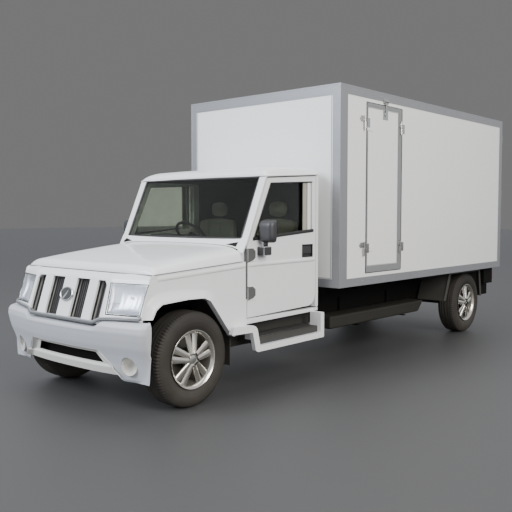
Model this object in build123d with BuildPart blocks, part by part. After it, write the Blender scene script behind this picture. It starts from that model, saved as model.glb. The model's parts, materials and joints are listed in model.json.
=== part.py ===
"""Light delivery truck: a bonneted cab and a dry-freight box body on a ladder chassis.

Millimetres. The front of the truck faces -Y, its left side is +X, and +Z is up.
The origin is on the ground, under the middle of the truck.
"""
import math
import os

from build123d import *

# ---- driving dimensions ----------------------------------------------------
TYRE_R = 360.7                # 225/70 R16 tyre
TYRE_W = 225.0
RIM_R = 221.0                 # over the rim flanges
BEAD_R = 202.0                # where the tyre sits on the rim
WHEEL_X = 737.5               # middle of the tyre from the truck's centre plane
FRONT_AXLE_Y = -2345.0
REAR_AXLE_Y = 2242.0
AXLE_Z = TYRE_R

KINGPIN_X = 620.0
SPINDLE_R = 22.0
HUB_FACE_X = 770.0            # face that the wheel is bolted to
STUD_PCD = 139.7
RUNNING = 0.06                # radial clearance of a shaft in its bore

RAIL_IN, RAIL_OUT = 350.0, 410.0
RAIL_Z0, RAIL_Z1 = 560.0, 690.0

CAB_X = 797.0                 # outer face of the cab's side
CAB_BACK_Y = -745.0
DOOR_FRONT_Y = -1707.0
DOOR_BACK_Y = -788.0
DOOR_THICK = 75.0

BOX_X = 965.0                 # half the width of the freight box
BOX_Y0, BOX_Y1 = -649.0, 2939.0
BOX_Z0, BOX_Z1 = 764.0, 2607.0
SKIN = 3.0                    # thickness of the edge rails
WALL = 30.0                   # thickness of the box panels
RAIL_W = 85.0                 # width of the edge rails

SIDE_DOOR_Y0, SIDE_DOOR_Y1 = -220.0, 430.0
SIDE_DOOR_Z0, SIDE_DOOR_Z1 = 875.0, 2490.0

STEER_WHEEL = (-370.0, -1200.0, 1222.0)
STEER_TILT = 42.0             # column above the horizontal, degrees


# ---- helpers ---------------------------------------------------------------
def write(piece, name):
    """Label a finished piece and write it."""
    piece.part.label = name
    export_step(piece.part, f"parts/{name}.step")


def block(low, high, mode=Mode.ADD):
    """A box between two corners, in the part being built."""
    size = [b - a for a, b in zip(low, high)]
    middle = [(a + b) / 2 for a, b in zip(low, high)]
    with Locations(tuple(middle)):
        Box(*size, mode=mode)


def side_plate(points, x_low, x_high, mode=Mode.ADD):
    """A plate whose outline is given in (Y, Z), from x_low to x_high."""
    with BuildSketch(Plane.YZ.offset(x_low)) as outline:
        with BuildLine():
            Polyline(*points, close=True)
        make_face()
    extrude(outline.sketch, amount=x_high - x_low, mode=mode)


def rod_x(x_low, x_high, y, z, radius, mode=Mode.ADD):
    """A round bar along X."""
    with BuildSketch(Plane.YZ.offset(x_low)) as disc:
        with Locations((y, z)):
            Circle(radius)
    extrude(disc.sketch, amount=x_high - x_low, mode=mode)


def rod_z(x, y, z_low, z_high, radius, mode=Mode.ADD):
    """A round upright bar."""
    with BuildSketch(Plane.XY.offset(z_low)) as disc:
        with Locations((x, y)):
            Circle(radius)
    extrude(disc.sketch, amount=z_high - z_low, mode=mode)


def rod(start, end, radius):
    """A round bar between any two points."""
    axis = Vector(*end) - Vector(*start)
    with BuildSketch(Plane(origin=start, z_dir=axis)) as disc:
        Circle(radius)
    extrude(disc.sketch, amount=axis.length)


def write_pair(left, name):
    """Write a left-hand piece and its mirror image as two nodes."""
    write(left, f"{name}_left")
    with BuildPart() as right:
        mirror(left.part, about=Plane.YZ)
    write(right, f"{name}_right")


def write_both(left, name):
    """Write a left-hand piece and its mirror image as one node."""
    with BuildPart() as both:
        add(left.part)
        mirror(left.part, about=Plane.YZ)
    write(both, name)


# ---- chassis ---------------------------------------------------------------
def chassis_frame():
    """Two box-section rails, their cross-members and the bearers under the freight box."""
    with BuildPart() as frame:
        for side in (-1, 1):
            x = sorted((side * RAIL_IN, side * RAIL_OUT))
            block((x[0], -2780, RAIL_Z0), (x[1], 2920, RAIL_Z1))
        for y in (-2770, -700, 500, 1500, 2650):
            block((-RAIL_IN + 0.5, y - 40, RAIL_Z0 + 45), (RAIL_IN - 0.5, y + 40, RAIL_Z1 - 15))
        for y in (-560, 60, 680, 1300, 2690):
            block((-720, y - 35, RAIL_Z1 + 0.5), (720, y + 35, BOX_Z0 - 0.5))
    write(frame, "chassis_frame")


def front_axle_beam():
    """Dropped I-beam with an upright boss for the kingpin at each end."""
    z0 = AXLE_Z
    with BuildPart() as beam:
        block((-525, FRONT_AXLE_Y - 35, z0 - 75), (525, FRONT_AXLE_Y + 35, z0 - 10))
        for side in (-1, 1):
            x = sorted((side * 480, side * KINGPIN_X))
            block((x[0], FRONT_AXLE_Y - 24, z0 - 45), (x[1], FRONT_AXLE_Y + 24, z0 + 30))
            rod_z(side * KINGPIN_X, FRONT_AXLE_Y, z0 - 50, z0 + 50, 28)
        for side in (-1, 1):
            rod_z(side * KINGPIN_X, FRONT_AXLE_Y, z0 - 60, z0 + 60, 14 + RUNNING, mode=Mode.SUBTRACT)
    write(beam, "front_axle_beam")


def leaf_springs():
    """Four leaf packs: three curved leaves each, clamped over the axle."""
    with BuildPart() as springs:
        for axle_y, reach in ((FRONT_AXLE_Y, 430), (REAR_AXLE_Y, 520)):
            for side in (-1, 1):
                for leaf in range(3):
                    length = reach - 120 * leaf
                    low = AXLE_Z + 95 - 14 * leaf
                    x0 = side * 380 - 30
                    with BuildSketch(Plane.YZ.offset(x0)):
                        with BuildLine():
                            rise = 90 * (length / reach) ** 2
                            ThreePointArc(
                                (axle_y - length, low + rise), (axle_y, low), (axle_y + length, low + rise)
                            )
                            Line((axle_y + length, low + rise), (axle_y + length, low + rise + 12))
                            ThreePointArc(
                                (axle_y + length, low + rise + 12),
                                (axle_y, low + 12),
                                (axle_y - length, low + rise + 12),
                            )
                            Line((axle_y - length, low + rise + 12), (axle_y - length, low + rise))
                        make_face()
                    extrude(amount=60)
    write(springs, "leaf_springs")


def rear_axle_housing():
    """Banjo housing with a round centre, its tubes and the wheel spindles."""
    with BuildPart() as housing:
        rod_x(-655, 655, REAR_AXLE_Y, AXLE_Z, 42)
        rod_x(-85, 85, REAR_AXLE_Y, AXLE_Z, 135)
        for side in (-1, 1):
            x = sorted((side * 654, side * 796))
            rod_x(x[0], x[1], REAR_AXLE_Y, AXLE_Z, SPINDLE_R)
            block(
                (side * 380 - 35, REAR_AXLE_Y - 60, AXLE_Z + 40),
                (side * 380 + 35, REAR_AXLE_Y + 60, AXLE_Z + 66),
            )
        rod((0, REAR_AXLE_Y - 210, AXLE_Z + 20), (0, REAR_AXLE_Y - 100, AXLE_Z + 20), 55)
    write(housing, "rear_axle_housing")


def engine_and_gearbox():
    """Engine block with its rocker cover and sump, bell housing and gearbox, and the radiator."""
    with BuildPart() as engine:
        block((-190, -2560, 560), (190, -1960, 850))
        block((-120, -2540, 849), (120, -1980, 930))
        block((-150, -2500, 470), (150, -2020, 561))
        rod((0, -1961, 640), (0, -1880, 640), 175)
        block((-110, -1881, 520), (110, -1500, 670))
        block((-90, -1501, 530), (90, -1080, 650))
        rod((0, -1081, 560), (0, -1040, 560), 50)
        block((-320, -2700, 600), (320, -2650, 940))
    write(engine, "engine_and_gearbox")


def exhaust_system():
    """Front pipe, silencer and tail pipe along the right-hand rail."""
    pipe_x, pipe_z = -480, 500
    with BuildPart() as exhaust:
        rod((pipe_x, -1680, pipe_z), (pipe_x, 300, pipe_z), 26)
        rod((pipe_x, 300, pipe_z), (pipe_x, 1050, pipe_z), 85)
        rod((pipe_x, 1050, pipe_z), (pipe_x, 1380, pipe_z), 26)
        rod((pipe_x, 1378, pipe_z), (pipe_x - 330, 1460, pipe_z - 60), 26)
    write(exhaust, "exhaust_system")


def fuel_tank():
    """Long tank on the left-hand rail, with a slanted rear end, and its two straps."""
    with BuildPart() as tank:
        side_plate(((-275, 323), (1395, 323), (1445, 446), (-275, 446)), 470, 690)
        edges = tank.edges().filter_by(Axis.Y)
        fillet(edges, 22)
        for y in (60, 980):
            block((RAIL_OUT + 0.5, y, 445), (700, y + 60, RAIL_Z0 + 30))
            block((470, y, 318), (696, y + 60, 324))
    write(tank, "fuel_tank")


def propeller_shaft():
    """Tube with a yoke at each end, from the gearbox to the rear axle."""
    start = (0, -1036, 560)
    end = (0, REAR_AXLE_Y - 214, AXLE_Z + 20)
    with BuildPart() as shaft:
        rod(start, end, 38)
        along = (Vector(*end) - Vector(*start)).normalized()
        for origin, step in ((start, 1), (end, -1)):
            stop = Vector(*origin) + along * (70 * step)
            rod(origin, (stop.X, stop.Y, stop.Z), 48)
    write(shaft, "propeller_shaft")


def steering_knuckle():
    """Yoke around the beam's boss, with its kingpin, wheel spindle and steering arm."""
    y, z = FRONT_AXLE_Y, AXLE_Z
    with BuildPart() as knuckle:
        block((KINGPIN_X - 28, y - 30, z + 50.5), (656, y + 30, z + 70))
        block((KINGPIN_X - 28, y - 30, z - 70), (656, y + 30, z - 50.5))
        block((652, y - 30, z - 70), (664, y + 30, z + 70))
        rod_z(KINGPIN_X, y, z - 70, z + 70, 14)
        rod_x(660, 796, y, z, SPINDLE_R)
        block((KINGPIN_X - 56, y - 20, z - 84), (KINGPIN_X + 10, y + 165, z - 69.5))
    write_pair(knuckle, "steering_knuckle")


def tie_rod():
    """Track rod under the ends of the two steering arms."""
    z = AXLE_Z - 100
    y = FRONT_AXLE_Y + 145
    with BuildPart() as track_rod:
        rod_x(-600, 600, y, z, 12)
        for side in (-1, 1):
            rod_z(side * 588, y, z - 16, z + 13.5, 20)
    write(track_rod, "tie_rod")


# ---- wheels ----------------------------------------------------------------
def wheel_places():
    """Name and axle of each of the four wheels; the left one is modelled first."""
    return (("front", FRONT_AXLE_Y), ("rear", REAR_AXLE_Y))


def tyre(y):
    """Hollow tyre: beads on the rim, bulged side walls and a shouldered tread."""
    half = TYRE_W / 2
    with BuildPart() as cover:
        with BuildSketch(Plane(origin=(WHEEL_X, y, AXLE_Z))):
            with BuildLine():
                Line((-92, BEAD_R), (-92, RIM_R + 4))
                Spline((-92, RIM_R + 4), (-half, 285), (-98, 340))
                Line((-98, 340), (-86, TYRE_R - 4))
                ThreePointArc((-86, TYRE_R - 4), (0, TYRE_R), (86, TYRE_R - 4))
                Line((86, TYRE_R - 4), (98, 340))
                Spline((98, 340), (half, 285), (92, RIM_R + 4))
                Line((92, RIM_R + 4), (92, BEAD_R))
                Line((92, BEAD_R), (74, BEAD_R))
                Spline((74, BEAD_R), (half - 12, 285), (74, 338))
                Line((74, 338), (-74, 338))
                Spline((-74, 338), (12 - half, 285), (-74, BEAD_R))
                Line((-74, BEAD_R), (-92, BEAD_R))
            make_face()
        revolve(axis=Axis((WHEEL_X, y, AXLE_Z), (1, 0, 0)))
    return cover


def rim(y):
    """Alloy rim: drop-centre barrel, five pairs of spokes and a bolted hub plate."""
    seat_r = BEAD_R - 0.5
    with BuildPart() as wheel:
        with BuildSketch(Plane(origin=(WHEEL_X, y, AXLE_Z))):
            with BuildLine():
                Polyline(
                    (-104, RIM_R), (-94, RIM_R), (-94, seat_r), (-40, seat_r), (-30, 180), (30, 180),
                    (60, seat_r), (94, seat_r), (94, RIM_R), (104, RIM_R), (104, 190), (60, 188),
                    (34, 170), (-34, 170), (-44, 190), (-104, 190), close=True,
                )
            make_face()
        revolve(axis=Axis((WHEEL_X, y, AXLE_Z), (1, 0, 0)))
        rod_x(HUB_FACE_X, HUB_FACE_X + 30, y, AXLE_Z, 86)
        for turn in range(5):
            for lean in (-11, 11):
                angle = math.radians(90 + 72 * turn + lean)
                out = (math.cos(angle), math.sin(angle))
                start = (HUB_FACE_X + 15, y + 60 * out[0], AXLE_Z + 60 * out[1])
                with BuildSketch(Plane(origin=start, x_dir=(1, 0, 0), z_dir=(0, *out))):
                    Rectangle(26, 26)
                extrude(amount=128)
        rod_x(HUB_FACE_X - 1, HUB_FACE_X + 31, y, AXLE_Z, 30, mode=Mode.SUBTRACT)
        for stud in range(5):
            angle = math.radians(54 + 72 * stud)
            dy = STUD_PCD / 2 * math.cos(angle)
            dz = STUD_PCD / 2 * math.sin(angle)
            rod_x(HUB_FACE_X - 1, HUB_FACE_X + 31, y + dy, AXLE_Z + dz, 7, mode=Mode.SUBTRACT)
    return wheel


def brake(y, radius, x_low, x_high):
    """Hub with its wheel flange and a brake disc or drum, turning on the spindle."""
    with BuildPart() as hub:
        rod_x(668, HUB_FACE_X, y, AXLE_Z, 42)
        rod_x(HUB_FACE_X - 12, HUB_FACE_X, y, AXLE_Z, 84)
        rod_x(x_low, x_high, y, AXLE_Z, radius)
        rod_x(660, HUB_FACE_X + 1, y, AXLE_Z, SPINDLE_R + RUNNING, mode=Mode.SUBTRACT)
        for stud in range(5):
            angle = math.radians(54 + 72 * stud)
            dy = STUD_PCD / 2 * math.cos(angle)
            dz = STUD_PCD / 2 * math.sin(angle)
            rod_x(HUB_FACE_X - 6, HUB_FACE_X + 44, y + dy, AXLE_Z + dz, 6.9)
    return hub


def wheels():
    """Tyre, rim and brake of every wheel."""
    for place, y in wheel_places():
        write_pair(tyre(y), f"tyre_{place}")
        write_pair(rim(y), f"rim_{place}")
    write_pair(brake(FRONT_AXLE_Y, 140, 690, 712), "brake_disc")
    write_pair(brake(REAR_AXLE_Y, 132, 684, 740), "brake_drum")


# ---- guards, steps and bumpers ---------------------------------------------
def mudguards():
    """Three panels over each rear wheel with an outer flange, and a flap behind each front wheel."""
    with BuildPart() as guard:
        block((640, -1890, 235), (776, -1882, 540))
        side_plate(((1647, 430), (1655, 430), (1788, 738), (1780, 738)), 500, 838)
        side_plate(((1780, 738.5), (2612, 738.5), (2612, 745), (1780, 745)), 500, 838)
        side_plate(((2604, 738), (2612, 738), (2664, 410), (2656, 410)), 600, 838)
        side_plate(
            ((1640, 430), (1773, 755), (2614, 755), (2668, 410), (2622, 410), (2574, 727),
             (1818, 727), (1690, 430)),
            838.5, 846,
        )
    write_both(guard, "mudguards")


def rear_bumper():
    """Under-run bar on two brackets, with a stepped block at each end."""
    with BuildPart() as bumper:
        block((-722, 2850, 430), (722, 2920, 520))
        for side in (-1, 1):
            x = sorted((side * 730, side * 870))
            y = (2675, 2925)
            block((x[0], y[0], 560), (x[1], y[1], 755))
            x = sorted((side * 722, side * 800))
            block((x[0], 2760, 410), (x[1], y[1], 561))
            x = sorted((side * (RAIL_IN + 5), side * (RAIL_OUT - 5)))
            block((x[0], 2860, 519), (x[1], 2910, RAIL_Z0 - 0.5))
    write(bumper, "rear_bumper")


def tail_lamps():
    """Rectangular lamp unit on the back of each end block."""
    with BuildPart() as lamp:
        block((735, 2925.5, 600), (865, 2950, 700))
        fillet(lamp.faces().sort_by(Axis.Y)[-1].edges(), 8)
    write_both(lamp, "tail_lamps")


def side_steps():
    """Folded frame below each door: a front tube, a dropped rail and a closed rear end."""
    with BuildPart() as frame:
        side_plate(
            ((-2020, 505), (-1775, 500), (-1738, 350), (-1712, 335), (-818, 342), (-818, 565),
             (-868, 572), (-868, 392), (-1684, 384), (-1718, 520), (-1740, 545), (-1985, 565)),
            884, 920,
        )
        fillet(frame.edges().filter_by(Axis.X), 9)
        block((800, -868, 382), (884.5, -822, 566))
        block((800, -1738, 430), (884.5, -1712, 542))
        block((801, -1870, 520), (884.5, -1740, 540))
    write_both(frame, "side_steps")


def step_treads():
    """Ribbed plastic tread plate carried by each step frame."""
    with BuildPart() as tread:
        block((700, -1711, 395), (883.5, -869, 446))
        for y in range(-1680, -905, 60):
            block((704, y, 446), (880, y + 22, 450))
    write_both(tread, "step_treads")


def front_bumper():
    """Moulded wrap-round bumper with a lower air intake and two round lamp recesses."""
    with BuildPart() as bumper:
        with BuildSketch(Plane.XY.offset(245)):
            with BuildLine():
                ThreePointArc((-895, -2800), (0, -2970), (895, -2800))
                Line((895, -2800), (895, -2786))
                Line((895, -2786), (830, -2786))
                ThreePointArc((830, -2786), (0, -2880), (-830, -2786))
                Line((-830, -2786), (-895, -2786))
                Line((-895, -2786), (-895, -2800))
            make_face()
        extrude(amount=445)
        with BuildSketch(Plane.XZ.offset(2600)):
            with BuildLine():
                Polyline((-530, 700), (530, 700), (440, 628), (-440, 628), close=True)
            make_face()
            with BuildLine():
                Polyline((-359, 438), (359, 438), (425, 355), (-425, 355), close=True)
            make_face()
        extrude(amount=500, mode=Mode.SUBTRACT)
        for side in (-1, 1):
            with BuildSketch(Plane.XZ.offset(2845)):
                with Locations((side * 711, 368)):
                    Circle(66)
            extrude(amount=200, mode=Mode.SUBTRACT)
    write(bumper, "front_bumper")


# ---- front end -------------------------------------------------------------
def slant_y(z):
    """Y of the slanted front panel's face at a height."""
    return -2806 - 0.324 * (1009 - z)


def grille_panel():
    """Slanted upright panel with four slots, and a ledge under each headlamp."""
    with BuildPart() as panel:
        side_plate(
            ((slant_y(1004), 1004), (slant_y(676), 676), (slant_y(676) + 28, 676),
             (slant_y(1004) + 28, 1004)),
            -486, 486,
        )
        for x_low, x_high in ((-450, -344), (-240, -81), (81, 240), (344, 450)):
            side_plate(
                ((-3000, 956), (-3000, 686), (-2700, 686), (-2700, 956)),
                x_low, x_high, mode=Mode.SUBTRACT,
            )
        block((-400, slant_y(664) - 12, 655), (400, slant_y(664) + 40, 675.5))
    write(panel, "grille_panel")


def grille_mesh():
    """Upright dark plate seen through the slots."""
    with BuildPart() as mesh:
        block((-486, -2772, 690), (486, -2765, 985))
    write(mesh, "grille_mesh")


def lamp_solid(front_low, front_high, depth_low, depth_high, z_low, z_high):
    """A tapered block between two plan outlines, for the lamp and its lens."""
    with BuildPart() as solid:
        for height, front, depth in ((z_low, front_low, depth_low), (z_high, front_high, depth_high)):
            (x0, y0), (x1, y1) = front
            with BuildSketch(Plane.XY.offset(height)):
                with BuildLine():
                    Polyline((x0, y0), (x1, y1), (x1, y1 + depth), (x0, y0 + depth), close=True)
                make_face()
        loft()
    return solid


def headlamps():
    """Lamp housings and their clear lenses, raked back at their outer ends."""
    lens_low = ((515, -2893), (785, -2808))
    lens_high = ((493, -2806), (797, -2718))
    lens = lamp_solid(lens_low, lens_high, 8, 8, 730, 940)
    write_both(lens, "headlamp_lenses")
    body_low = ((515, -2884.5), (777, -2802))
    body_high = ((493, -2797.5), (777, -2715))
    body = lamp_solid(body_low, body_high, 75, 75, 730, 940)
    write_both(body, "headlamp_housings")


def fender_outline():
    """(Y, Z) points of the front wing's side, round the wheel arch."""
    return (
        (-2700, 700), (-2710, 995), (-2690, 1006), (-1893, 1050), (-1715, 1060), (-1715, 480),
        (-1890, 470), (-1938, 486), (-2106, 700), (-2170, 780), (-2235, 810), (-2585, 808),
        (-2640, 765),
    )


def front_fenders():
    """Wing side panels with a raised arch lip."""
    with BuildPart() as fender:
        side_plate(fender_outline(), 780, 800)
        side_plate(
            ((-2700, 700), (-2640, 765), (-2585, 808), (-2235, 810), (-2170, 780), (-2106, 700),
             (-1938, 486), (-1890, 470), (-1895, 530), (-2070, 745), (-2150, 830), (-2215, 850),
             (-2600, 848), (-2665, 800), (-2715, 735)),
            799.5, 848,
        )
    write_both(fender, "front_fenders")


def bonnet_section(y, side_z, crease_z, crown_z):
    """One cross-section of the bonnet's 20 mm shell, for the loft."""
    drop = 20
    with BuildSketch(Plane.XZ.offset(-y)) as section:
        with BuildLine():
            Polyline((-800, side_z), (-748, crease_z))
            ThreePointArc((-748, crease_z), (0, crown_z), (748, crease_z))
            Polyline((748, crease_z), (800, side_z), (782, side_z), (735, crease_z - drop))
            ThreePointArc((735, crease_z - drop), (0, crown_z - drop), (-735, crease_z - drop))
            Polyline((-735, crease_z - drop), (-782, side_z), (-800, side_z))
        make_face()
    return section.sketch


def bonnet():
    """Clamshell bonnet, crowned, with its sides turned down to the wings."""
    with BuildPart() as hood:
        stations = (
            bonnet_section(-2690, 1010, 1024, 1066),
            bonnet_section(-2353, 1028, 1080, 1126),
            bonnet_section(-2058, 1044, 1124, 1162),
            bonnet_section(-1765, 1061, 1160, 1196),
        )
        loft(stations, ruled=True)
        with BuildSketch(Plane.XY.offset(1008)):
            with BuildLine():
                Line((-800, -2690.5), (-800, -2700))
                ThreePointArc((-800, -2700), (0, -2800), (800, -2700))
                Line((800, -2700), (800, -2690.5))
                Line((800, -2690.5), (-800, -2690.5))
            make_face()
        extrude(amount=14)
    write(hood, "bonnet")


# ---- cab -------------------------------------------------------------------
def cab_floor():
    """Floor pan, firewall, toe boards, cowl panel and back wall, as separate pressings."""
    with BuildPart() as floor:
        block((-718, -1700, 694), (718, -760, 708))
        block((-718, -1716, 709), (718, -1702, 1149))
        side_plate(((-1757, 1150), (-1702, 1150), (-1702, 1228), (-1757, 1190)), -718, 718)
        for side in (-1, 1):
            x = sorted((side * 415, side * 718))
            block((x[0], -1716, 480), (x[1], -1702, 693))
        block((-733, CAB_BACK_Y - 14, 709), (733, CAB_BACK_Y, 1780))
    write(floor, "cab_floor_and_bulkheads")


def cab_sides():
    """Screen pillar, rear pillar, sill and hinge pillar of each side."""
    with BuildPart() as side:
        side_plate(((-1724, 1180), (-1474, 1748), (-1457, 1748), (-1710, 1180)), 729, CAB_X)
        block((735, -780, 600), (CAB_X, CAB_BACK_Y, 1783))
        side_plate(((-1714, 545), (-748, 562), (-748, 592), (-1714, 590)), 735, CAB_X)
        block((735, -1760, 700), (779.5, -1716.5, 1149))
    write_both(side, "cab_sides")


def cab_roof():
    """Roof pressing with a sloped front edge and a drip rail along each side."""
    with BuildPart() as roof:
        side_plate(
            ((-1474, 1752), (-1384, 1804), (-1240, 1838), (-1050, 1856), (-760, 1858), (-742, 1846),
             (-742, 1788), (-1456, 1750)),
            -790, 790,
        )
        top = roof.faces().filter_by(Axis.X).edges().group_by(Axis.Z)[-1]
        chamfer(top, 12)
        for sign in (-1, 1):
            x = sorted((sign * 789.5, sign * 806))
            side_plate(((-1462, 1752), (-1462, 1764), (-760, 1802), (-760, 1790)), x[0], x[1])
    write(roof, "cab_roof")


def windscreen():
    """Flat laminated screen, raked between the pillars."""
    with BuildPart() as screen:
        side_plate(((-1700, 1232), (-1468, 1749), (-1462, 1749), (-1694, 1232)), -727, 727)
    write(screen, "windscreen")


def column_axis():
    """Unit direction from the dashboard up to the driver's hands."""
    lean = math.radians(STEER_TILT)
    return Vector(0, math.cos(lean), math.sin(lean))


def dashboard():
    """Dashboard moulding and the steering column's shroud."""
    with BuildPart() as dash:
        side_plate(
            ((-1690, 940), (-1560, 930), (-1470, 1010), (-1452, 1180), (-1500, 1226), (-1690, 1226)),
            -705, 705,
        )
        hub = Vector(*STEER_WHEEL)
        low = hub - column_axis() * 390
        high = hub - column_axis() * 32
        rod((low.X, low.Y, low.Z), (high.X, high.Y, high.Z), 34)
    write(dash, "dashboard")


def steering_wheel():
    """Rim, three spokes and a boss, on the end of the column."""
    hub = Vector(*STEER_WHEEL)
    face = Plane(origin=hub, x_dir=(1, 0, 0), z_dir=column_axis())
    with BuildPart() as wheel:
        with BuildSketch(Plane(origin=hub, x_dir=(1, 0, 0), z_dir=face.y_dir)):
            with Locations((180, 0)):
                Circle(14)
        revolve(axis=Axis(hub, column_axis()))
        with BuildSketch(face.offset(-28)):
            Circle(48)
        extrude(amount=40)
        for angle in (0, 90, 180):
            turn = math.radians(angle)
            arm = face.x_dir * math.cos(turn) + face.y_dir * math.sin(turn)
            start = hub + arm * 40
            with BuildSketch(Plane(origin=start, x_dir=column_axis(), z_dir=arm)):
                Rectangle(14, 34)
            extrude(amount=134)
    write(wheel, "steering_wheel")


def seats():
    """Cushion, backrest and headrest of the driver's and the passenger's seats."""
    with BuildPart() as seat:
        block((120, -1340, 740), (640, -905, 950))
        side_plate(((-900, 930), (-790, 930), (-770, 1400), (-860, 1400)), 120, 640)
        block((270, -850, 1410), (490, -775, 1560))
    write_both(seat, "seats")


# ---- cab doors -------------------------------------------------------------
DOOR_INNER_X = CAB_X - DOOR_THICK
GLASS_X0, GLASS_X1 = 757.0, 762.0
WINDOW = ((-1633, 1229), (-1413, 1696), (-843, 1724), (-838, 1296))


def cab_door():
    """Door with a window frame, a slot for the glass, a handle pocket and a mirror foot."""
    with BuildPart() as door:
        with BuildSketch(Plane.YZ.offset(DOOR_INNER_X)):
            with BuildLine():
                Polyline(
                    (DOOR_BACK_Y, 720), (DOOR_BACK_Y, 1782), (-1452, 1746),
                    (DOOR_FRONT_Y, 1172), (DOOR_FRONT_Y, 597), (-895, 618),
                )
                RadiusArc((-895, 618), (DOOR_BACK_Y, 720), -112)
            make_face()
        extrude(amount=DOOR_THICK)
        side_plate(WINDOW, DOOR_INNER_X - 1, CAB_X + 1, mode=Mode.SUBTRACT)
        side_plate(
            ((-1652, 772), (-1652, 1240), (-833, 1320), (-833, 772)),
            GLASS_X0 - 4, GLASS_X1 + 4, mode=Mode.SUBTRACT,
        )
        block((773, -983, 1058), (CAB_X + 1, -834, 1168), mode=Mode.SUBTRACT)
        block((CAB_X - 0.5, -1585, 1102), (872, -1490, 1172))
        for low, high in ((742, 842), (1054, 1156)):
            block((CAB_X - 0.5, -1706, low), (CAB_X + 9, -1612, high))
    write_pair(door, "door")


def door_glass():
    """Drop glass, running down its slot in the door."""
    front = (WINDOW[0], WINDOW[1])
    slope = (front[1][0] - front[0][0]) / (front[1][1] - front[0][1])
    low_z, gap = 1205, 3
    foot = front[0][0] + slope * (low_z - front[0][1]) + gap
    with BuildPart() as pane:
        side_plate(
            ((foot, low_z), (front[1][0] + gap, front[1][1] - gap), (-846, 1721), (-841, low_z)),
            GLASS_X0, GLASS_X1,
        )
    write_pair(pane, "door_glass")


def door_handle():
    """Lift-up paddle in its pocket."""
    with BuildPart() as handle:
        block((779, -972, 1086), (793, -845, 1156))
        fillet(handle.edges().filter_by(Axis.X), 8)
    write_pair(handle, "door_handle")


def mirror_head():
    """Mirror housing on a stem that turns in the foot."""
    with BuildPart() as head:
        block((815, -1572, 1204), (977, -1502, 1392))
        fillet(head.edges().filter_by(Axis.Y), 34)
        fillet(head.faces().sort_by(Axis.Y)[0].edges(), 18)
        rod_z(848, -1537, 1172.5, 1206, 15)
    write_pair(head, "mirror")


# ---- freight box -----------------------------------------------------------
IN_X = BOX_X - SKIN
IN_Y0, IN_Y1 = BOX_Y0 + SKIN, BOX_Y1 - SKIN
IN_Z0, IN_Z1 = BOX_Z0 + SKIN, BOX_Z1 - SKIN
FLOOR_TOP = IN_Z0 + 40


def box_floor():
    """Flat load floor."""
    with BuildPart() as floor:
        block((-IN_X + WALL, IN_Y0 + WALL, IN_Z0), (IN_X - WALL, IN_Y1, FLOOR_TOP))
    write(floor, "box_floor")


def box_walls():
    """Left wall in four panels round the side door, the right wall and the front wall."""
    x0, x1 = IN_X - WALL, IN_X
    top = IN_Z1 - WALL - 0.5
    with BuildPart() as walls:
        block((x0 + 0.5, IN_Y0, IN_Z0), (x1, SIDE_DOOR_Y0, top))
        block((x0 + 0.5, SIDE_DOOR_Y1, IN_Z0), (x1, IN_Y1, top))
        block((x0 + 0.5, SIDE_DOOR_Y0 + 0.2, IN_Z0), (x1, SIDE_DOOR_Y1 - 0.2, SIDE_DOOR_Z0))
        block((x0 + 0.5, SIDE_DOOR_Y0 + 0.2, SIDE_DOOR_Z1), (x1, SIDE_DOOR_Y1 - 0.2, top))
        block((-x1, IN_Y0, IN_Z0), (-x0 - 0.5, IN_Y1, top))
        block((-x0, IN_Y0, IN_Z0), (x0, IN_Y0 + WALL - 0.5, top))
    write(walls, "box_walls")


def box_roof():
    """Roof panel."""
    with BuildPart() as roof:
        block((-IN_X, IN_Y0, IN_Z1 - WALL), (IN_X, IN_Y1, IN_Z1))
    write(roof, "box_roof")


def box_edge_rails():
    """Thin angle extrusions over all twelve edges of the box."""
    with BuildPart() as rails:
        block((-BOX_X, BOX_Y0, BOX_Z0), (BOX_X, BOX_Y1, BOX_Z1))
        outer = rails.edges()
        fillet(outer, 2.5)
        block((-IN_X, IN_Y0, IN_Z0), (IN_X, IN_Y1, IN_Z1), mode=Mode.SUBTRACT)
        y0, y1 = BOX_Y0 + 120, BOX_Y1 - RAIL_W
        z0, z1 = BOX_Z0 + 79, BOX_Z1 - RAIL_W
        block((-BOX_X - 1, y0, z0), (BOX_X + 1, y1, z1), mode=Mode.SUBTRACT)
        block((-880, BOX_Y0 - 1, z0), (880, 0, z1 - 15), mode=Mode.SUBTRACT)
        block((-IN_X + WALL, 0, FLOOR_TOP), (IN_X - WALL, BOX_Y1 + 1, IN_Z1 - WALL), mode=Mode.SUBTRACT)
        block((-880, y0, BOX_Z0 - 1), (880, y1, BOX_Z1 + 1), mode=Mode.SUBTRACT)
    write(rails, "box_edge_rails")


def side_door():
    """Hinged side door with a raised frame, a sill strip and its hinge straps."""
    gap = 5
    y0, y1 = SIDE_DOOR_Y0 + gap, SIDE_DOOR_Y1 - gap
    z0, z1 = SIDE_DOOR_Z0 + gap, SIDE_DOOR_Z1 - gap
    with BuildPart() as door:
        block((IN_X - WALL + 1, y0, z0), (IN_X + 1, y1, z1))
        for z in (1110, 2250):
            block((IN_X + 0.5, y0 + 4, z - 28), (IN_X + 7, y0 + 110, z + 28))
    write(door, "side_door")


def side_door_latch():
    """Turning latch at the top of the side door."""
    with BuildPart() as latch:
        rod_x(IN_X + 1.3, IN_X + 10, 115, 2400, 22)
        block((IN_X + 9.5, 103, 2392), (IN_X + 14.5, 127, 2520))
    write(latch, "side_door_latch")


def rear_door():
    """One leaf of the rear doors, with three hinge straps at its outer edge."""
    top = IN_Z1 - WALL - 4
    x_out = IN_X - WALL - 4
    with BuildPart() as leaf:
        block((4, IN_Y1 - WALL, FLOOR_TOP + 4), (x_out, IN_Y1, top))
        for z in (1000, 1690, 2380):
            block((x_out - 120, IN_Y1 - 0.5, z - 22), (x_out - 4, IN_Y1 + 7, z + 22))
    write_pair(leaf, "rear_door")


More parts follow.
